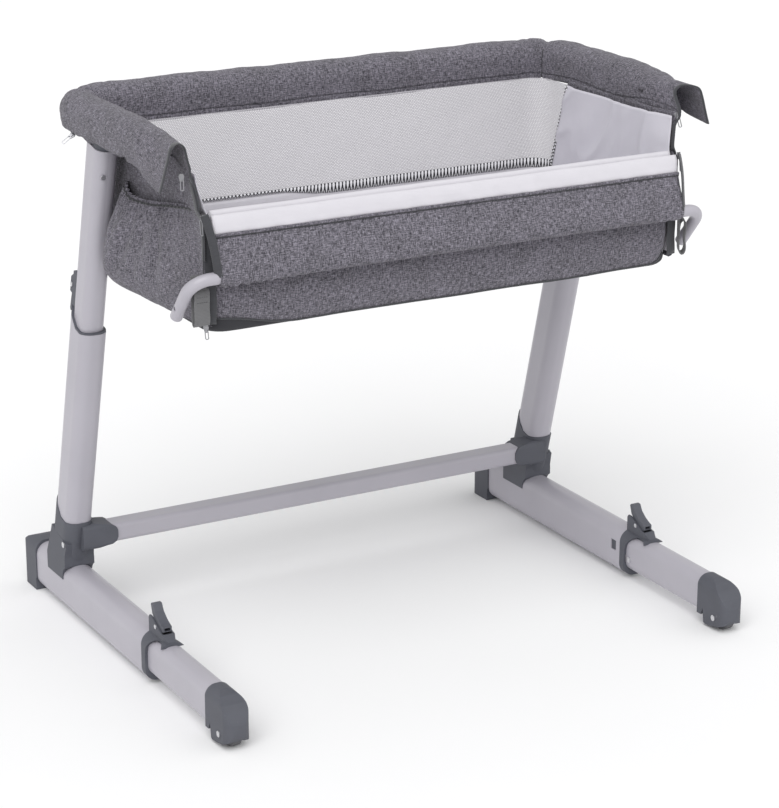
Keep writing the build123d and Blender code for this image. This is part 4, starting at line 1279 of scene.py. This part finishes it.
# ---------------------------------------------------------------- straps
def corner_straps():
    """Webbing loops at the front corners, each doubled back on itself and sewn at its top."""
    for side, sign in SIDES:
        x = sign * (STRAP_LOW.x + STRAP_HIGH.x) / 2
        turn = math.radians(0 if sign < 0 else 62)
        across = (math.cos(turn), math.sin(turn), 0)
        front, back = STRAP_LOW.y - 5.5 * MM, STRAP_HIGH.y + 1 * MM
        top, low = 664 * MM, STRAP_LOW.z + 1 * MM
        path = [
            (back, 640), (back, 658), (back - 1 * MM, 669), (front + 2 * MM, 671), (front - 1 * MM, 664),
            (front, 650), (front + 1.5 * MM, 640), (front - 1.2 * MM, 628), (front, low / MM + 4),
            ((front + back) / 2, low / MM), (back, low / MM + 4), (back, 632), (back + 0.5 * MM, 655),
            (back + 0.5 * MM, 690),
        ]
        middle = (front + back) / 2
        path = [Vector((x - (y - middle) * across[1], middle + (y - middle) * across[0], z * MM))
                for y, z in path]
        points = smooth_line(path, 2.5 * MM)
        made = strip("strap_" + side, points, 25 * MM, 1.7 * MM, lambda i: across)
        finish_piece(made, "basket", WEBBING)
        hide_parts("corner_strap_" + side)
        inside = Vector((-across[1], across[0], 0))
        for k, height in enumerate((top - 5 * MM, top - 13 * MM)):
            face = Vector((x, middle, height)) - inside * (middle - front + 1.2 * MM)
            row = [face - Vector(across) * 9 * MM, face + Vector(across) * 9 * MM]
            stitches = stitch_row(f"strap_stitches_{side}_{k}", row, lambda p: (0, -1, 0))
            finish_piece(stitches, "basket", DARK_THREAD)
    zip_pull("base_zip_pull", (-STRAP_LOW.x - 6 * MM, STRAP_LOW.y - 3 * MM, STRAP_LOW.z + 1 * MM),
             (0.05, -0.1, -1), (-0.4, -1, 0), "basket", length=14 * MM)


# ---------------------------------------------------------------- mattress
def pad_block():
    """A rounded block a little smaller than the mattress, remeshed to an even grain."""
    inset = 5 * MM
    size = PAD_HIGH - PAD_LOW
    middle = (PAD_LOW + PAD_HIGH) / 2
    build = bmesh.new()
    bmesh.ops.create_cube(build, size=1.0)
    for vert in build.verts:
        vert.co = Vector((vert.co.x * (size.x - 2 * inset), vert.co.y * (size.y - 2 * inset),
                          vert.co.z * (size.z - 2 * inset))) + middle
    bmesh.ops.bevel(build, geom=list(build.edges), offset=20 * MM, segments=5, affect="EDGES", profile=0.5)
    mesh = bpy.data.meshes.new("sleeping_pad")
    build.to_mesh(mesh)
    build.free()
    made = new_object("sleeping_pad_cover", mesh)
    bpy.context.view_layer.objects.active = made
    remesh = made.modifiers.new("grain", "REMESH")
    remesh.mode, remesh.voxel_size = "VOXEL", 7 * MM
    bpy.ops.object.modifier_apply(modifier=remesh.name)
    return made


def stuff(made):
    start = [v.co.copy() for v in made.data.vertices]
    cloth = made.modifiers.new("stuffing", "CLOTH")
    cloth.settings.use_pressure = True
    cloth.settings.uniform_pressure_force = 4.0
    cloth.settings.effector_weights.gravity = 0.0
    cloth.point_cache.frame_start, cloth.point_cache.frame_end = 1, 20
    for number in range(1, 21):
        bpy.context.scene.frame_set(number)
    bpy.ops.object.modifier_apply(modifier=cloth.name)
    bpy.context.scene.frame_set(1)
    cap = 7 * MM
    low, high = PAD_LOW, PAD_HIGH
    middle_z = ((low + high) / 2).z
    for vert, was in zip(made.data.vertices, start):
        move = vert.co - was
        if move.length > cap:
            vert.co = was + move.normalized() * cap
        tuft = wave(vert.co.x, vert.co.y, 90 * MM, 1.0) * 1.2 * MM
        if vert.co.z > middle_z:
            vert.co.z += tuft
        vert.co.z = min(max(vert.co.z, low.z), high.z + 2 * MM)
        vert.co.x = min(max(vert.co.x, low.x), high.x)
        vert.co.y = min(max(vert.co.y, low.y), high.y)


def mattress():
    """A stuffed pad with piping round its upper edge."""
    made = pad_block()
    stuff(made)
    made.data.shade_smooth()
    soften(made)
    finish_piece(made, "sleeping_pad", PAD_CLOTH)
    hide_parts("mattress")
    size = PAD_HIGH - PAD_LOW
    middle = (PAD_LOW + PAD_HIGH) / 2
    loop = rounded_loop(middle.x, middle.y, PAD_HIGH.z - 12 * MM, size.x / 2 - 6 * MM, size.y / 2 - 6 * MM,
                        26 * MM, 6)
    ring = [p for _, p in spread_points(loop, 6 * MM)]
    piping = sweep("pad_piping", ring, lambda i: oval(4 * MM, 4 * MM, 8), lambda i: (0, 0, 1), caps=False)
    finish_piece(piping, "sleeping_pad", LIP_CLOTH)


# ---------------------------------------------------------------- stage, light and camera
def studio():
    scene = bpy.context.scene
    scene.view_settings.view_transform = "Standard"
    world = bpy.data.worlds.new("studio")
    world.use_nodes = True
    back = world.node_tree.nodes["Background"]
    back.inputs["Color"].default_value = (1.0, 1.0, 1.0, 1.0)
    back.inputs["Strength"].default_value = 0.70
    scene.world = world
    floor = surface("floor", steps(-9.0, 9.0, 1.0), steps(-9.0, 9.0, 1.0), lambda x, y: Vector((x, y, -0.0005)))
    floor.data.materials.append(floor_paint("floor_paint"))
    suns = (("key", (0.60, 0.72, -1.0), 55, 1.75), ("fill", (-0.9, 0.5, -0.6), 70, 0.30))
    for name, toward, spread, strength in suns:
        light = bpy.data.lights.new(name, "SUN")
        light.angle, light.energy = math.radians(spread), strength
        lamp = bpy.data.objects.new(name, light)
        lamp.rotation_euler = Vector(toward).to_track_quat("-Z", "Y").to_euler()
        scene.collection.objects.link(lamp)


def camera():
    lens = bpy.data.cameras.new("camera")
    lens.lens, lens.sensor_width = 115.57, 36.0
    view = bpy.data.objects.new("camera", lens)
    view.location = (-1.9577, -3.5474, 1.6934)
    view.rotation_euler = (math.radians(90 - 18.2741), 0.0, math.radians(-29.2024))
    bpy.context.scene.collection.objects.link(view)
    bpy.context.scene.camera = view


camera()
studio()
paint_cad_nodes()
section = rail_cover()
cover_bindings(section)
cover_seams(section)
side_zips()
cover_zip_pulls()
mesh_panel()
lower_lining()
end_linings()
net_trims()
outer_shell()
front_panel()
front_lining()
corner_tapes()
base_sling()
lip()
drop_cloth()
drop_zips()
pocket()
corner_straps()
mattress()
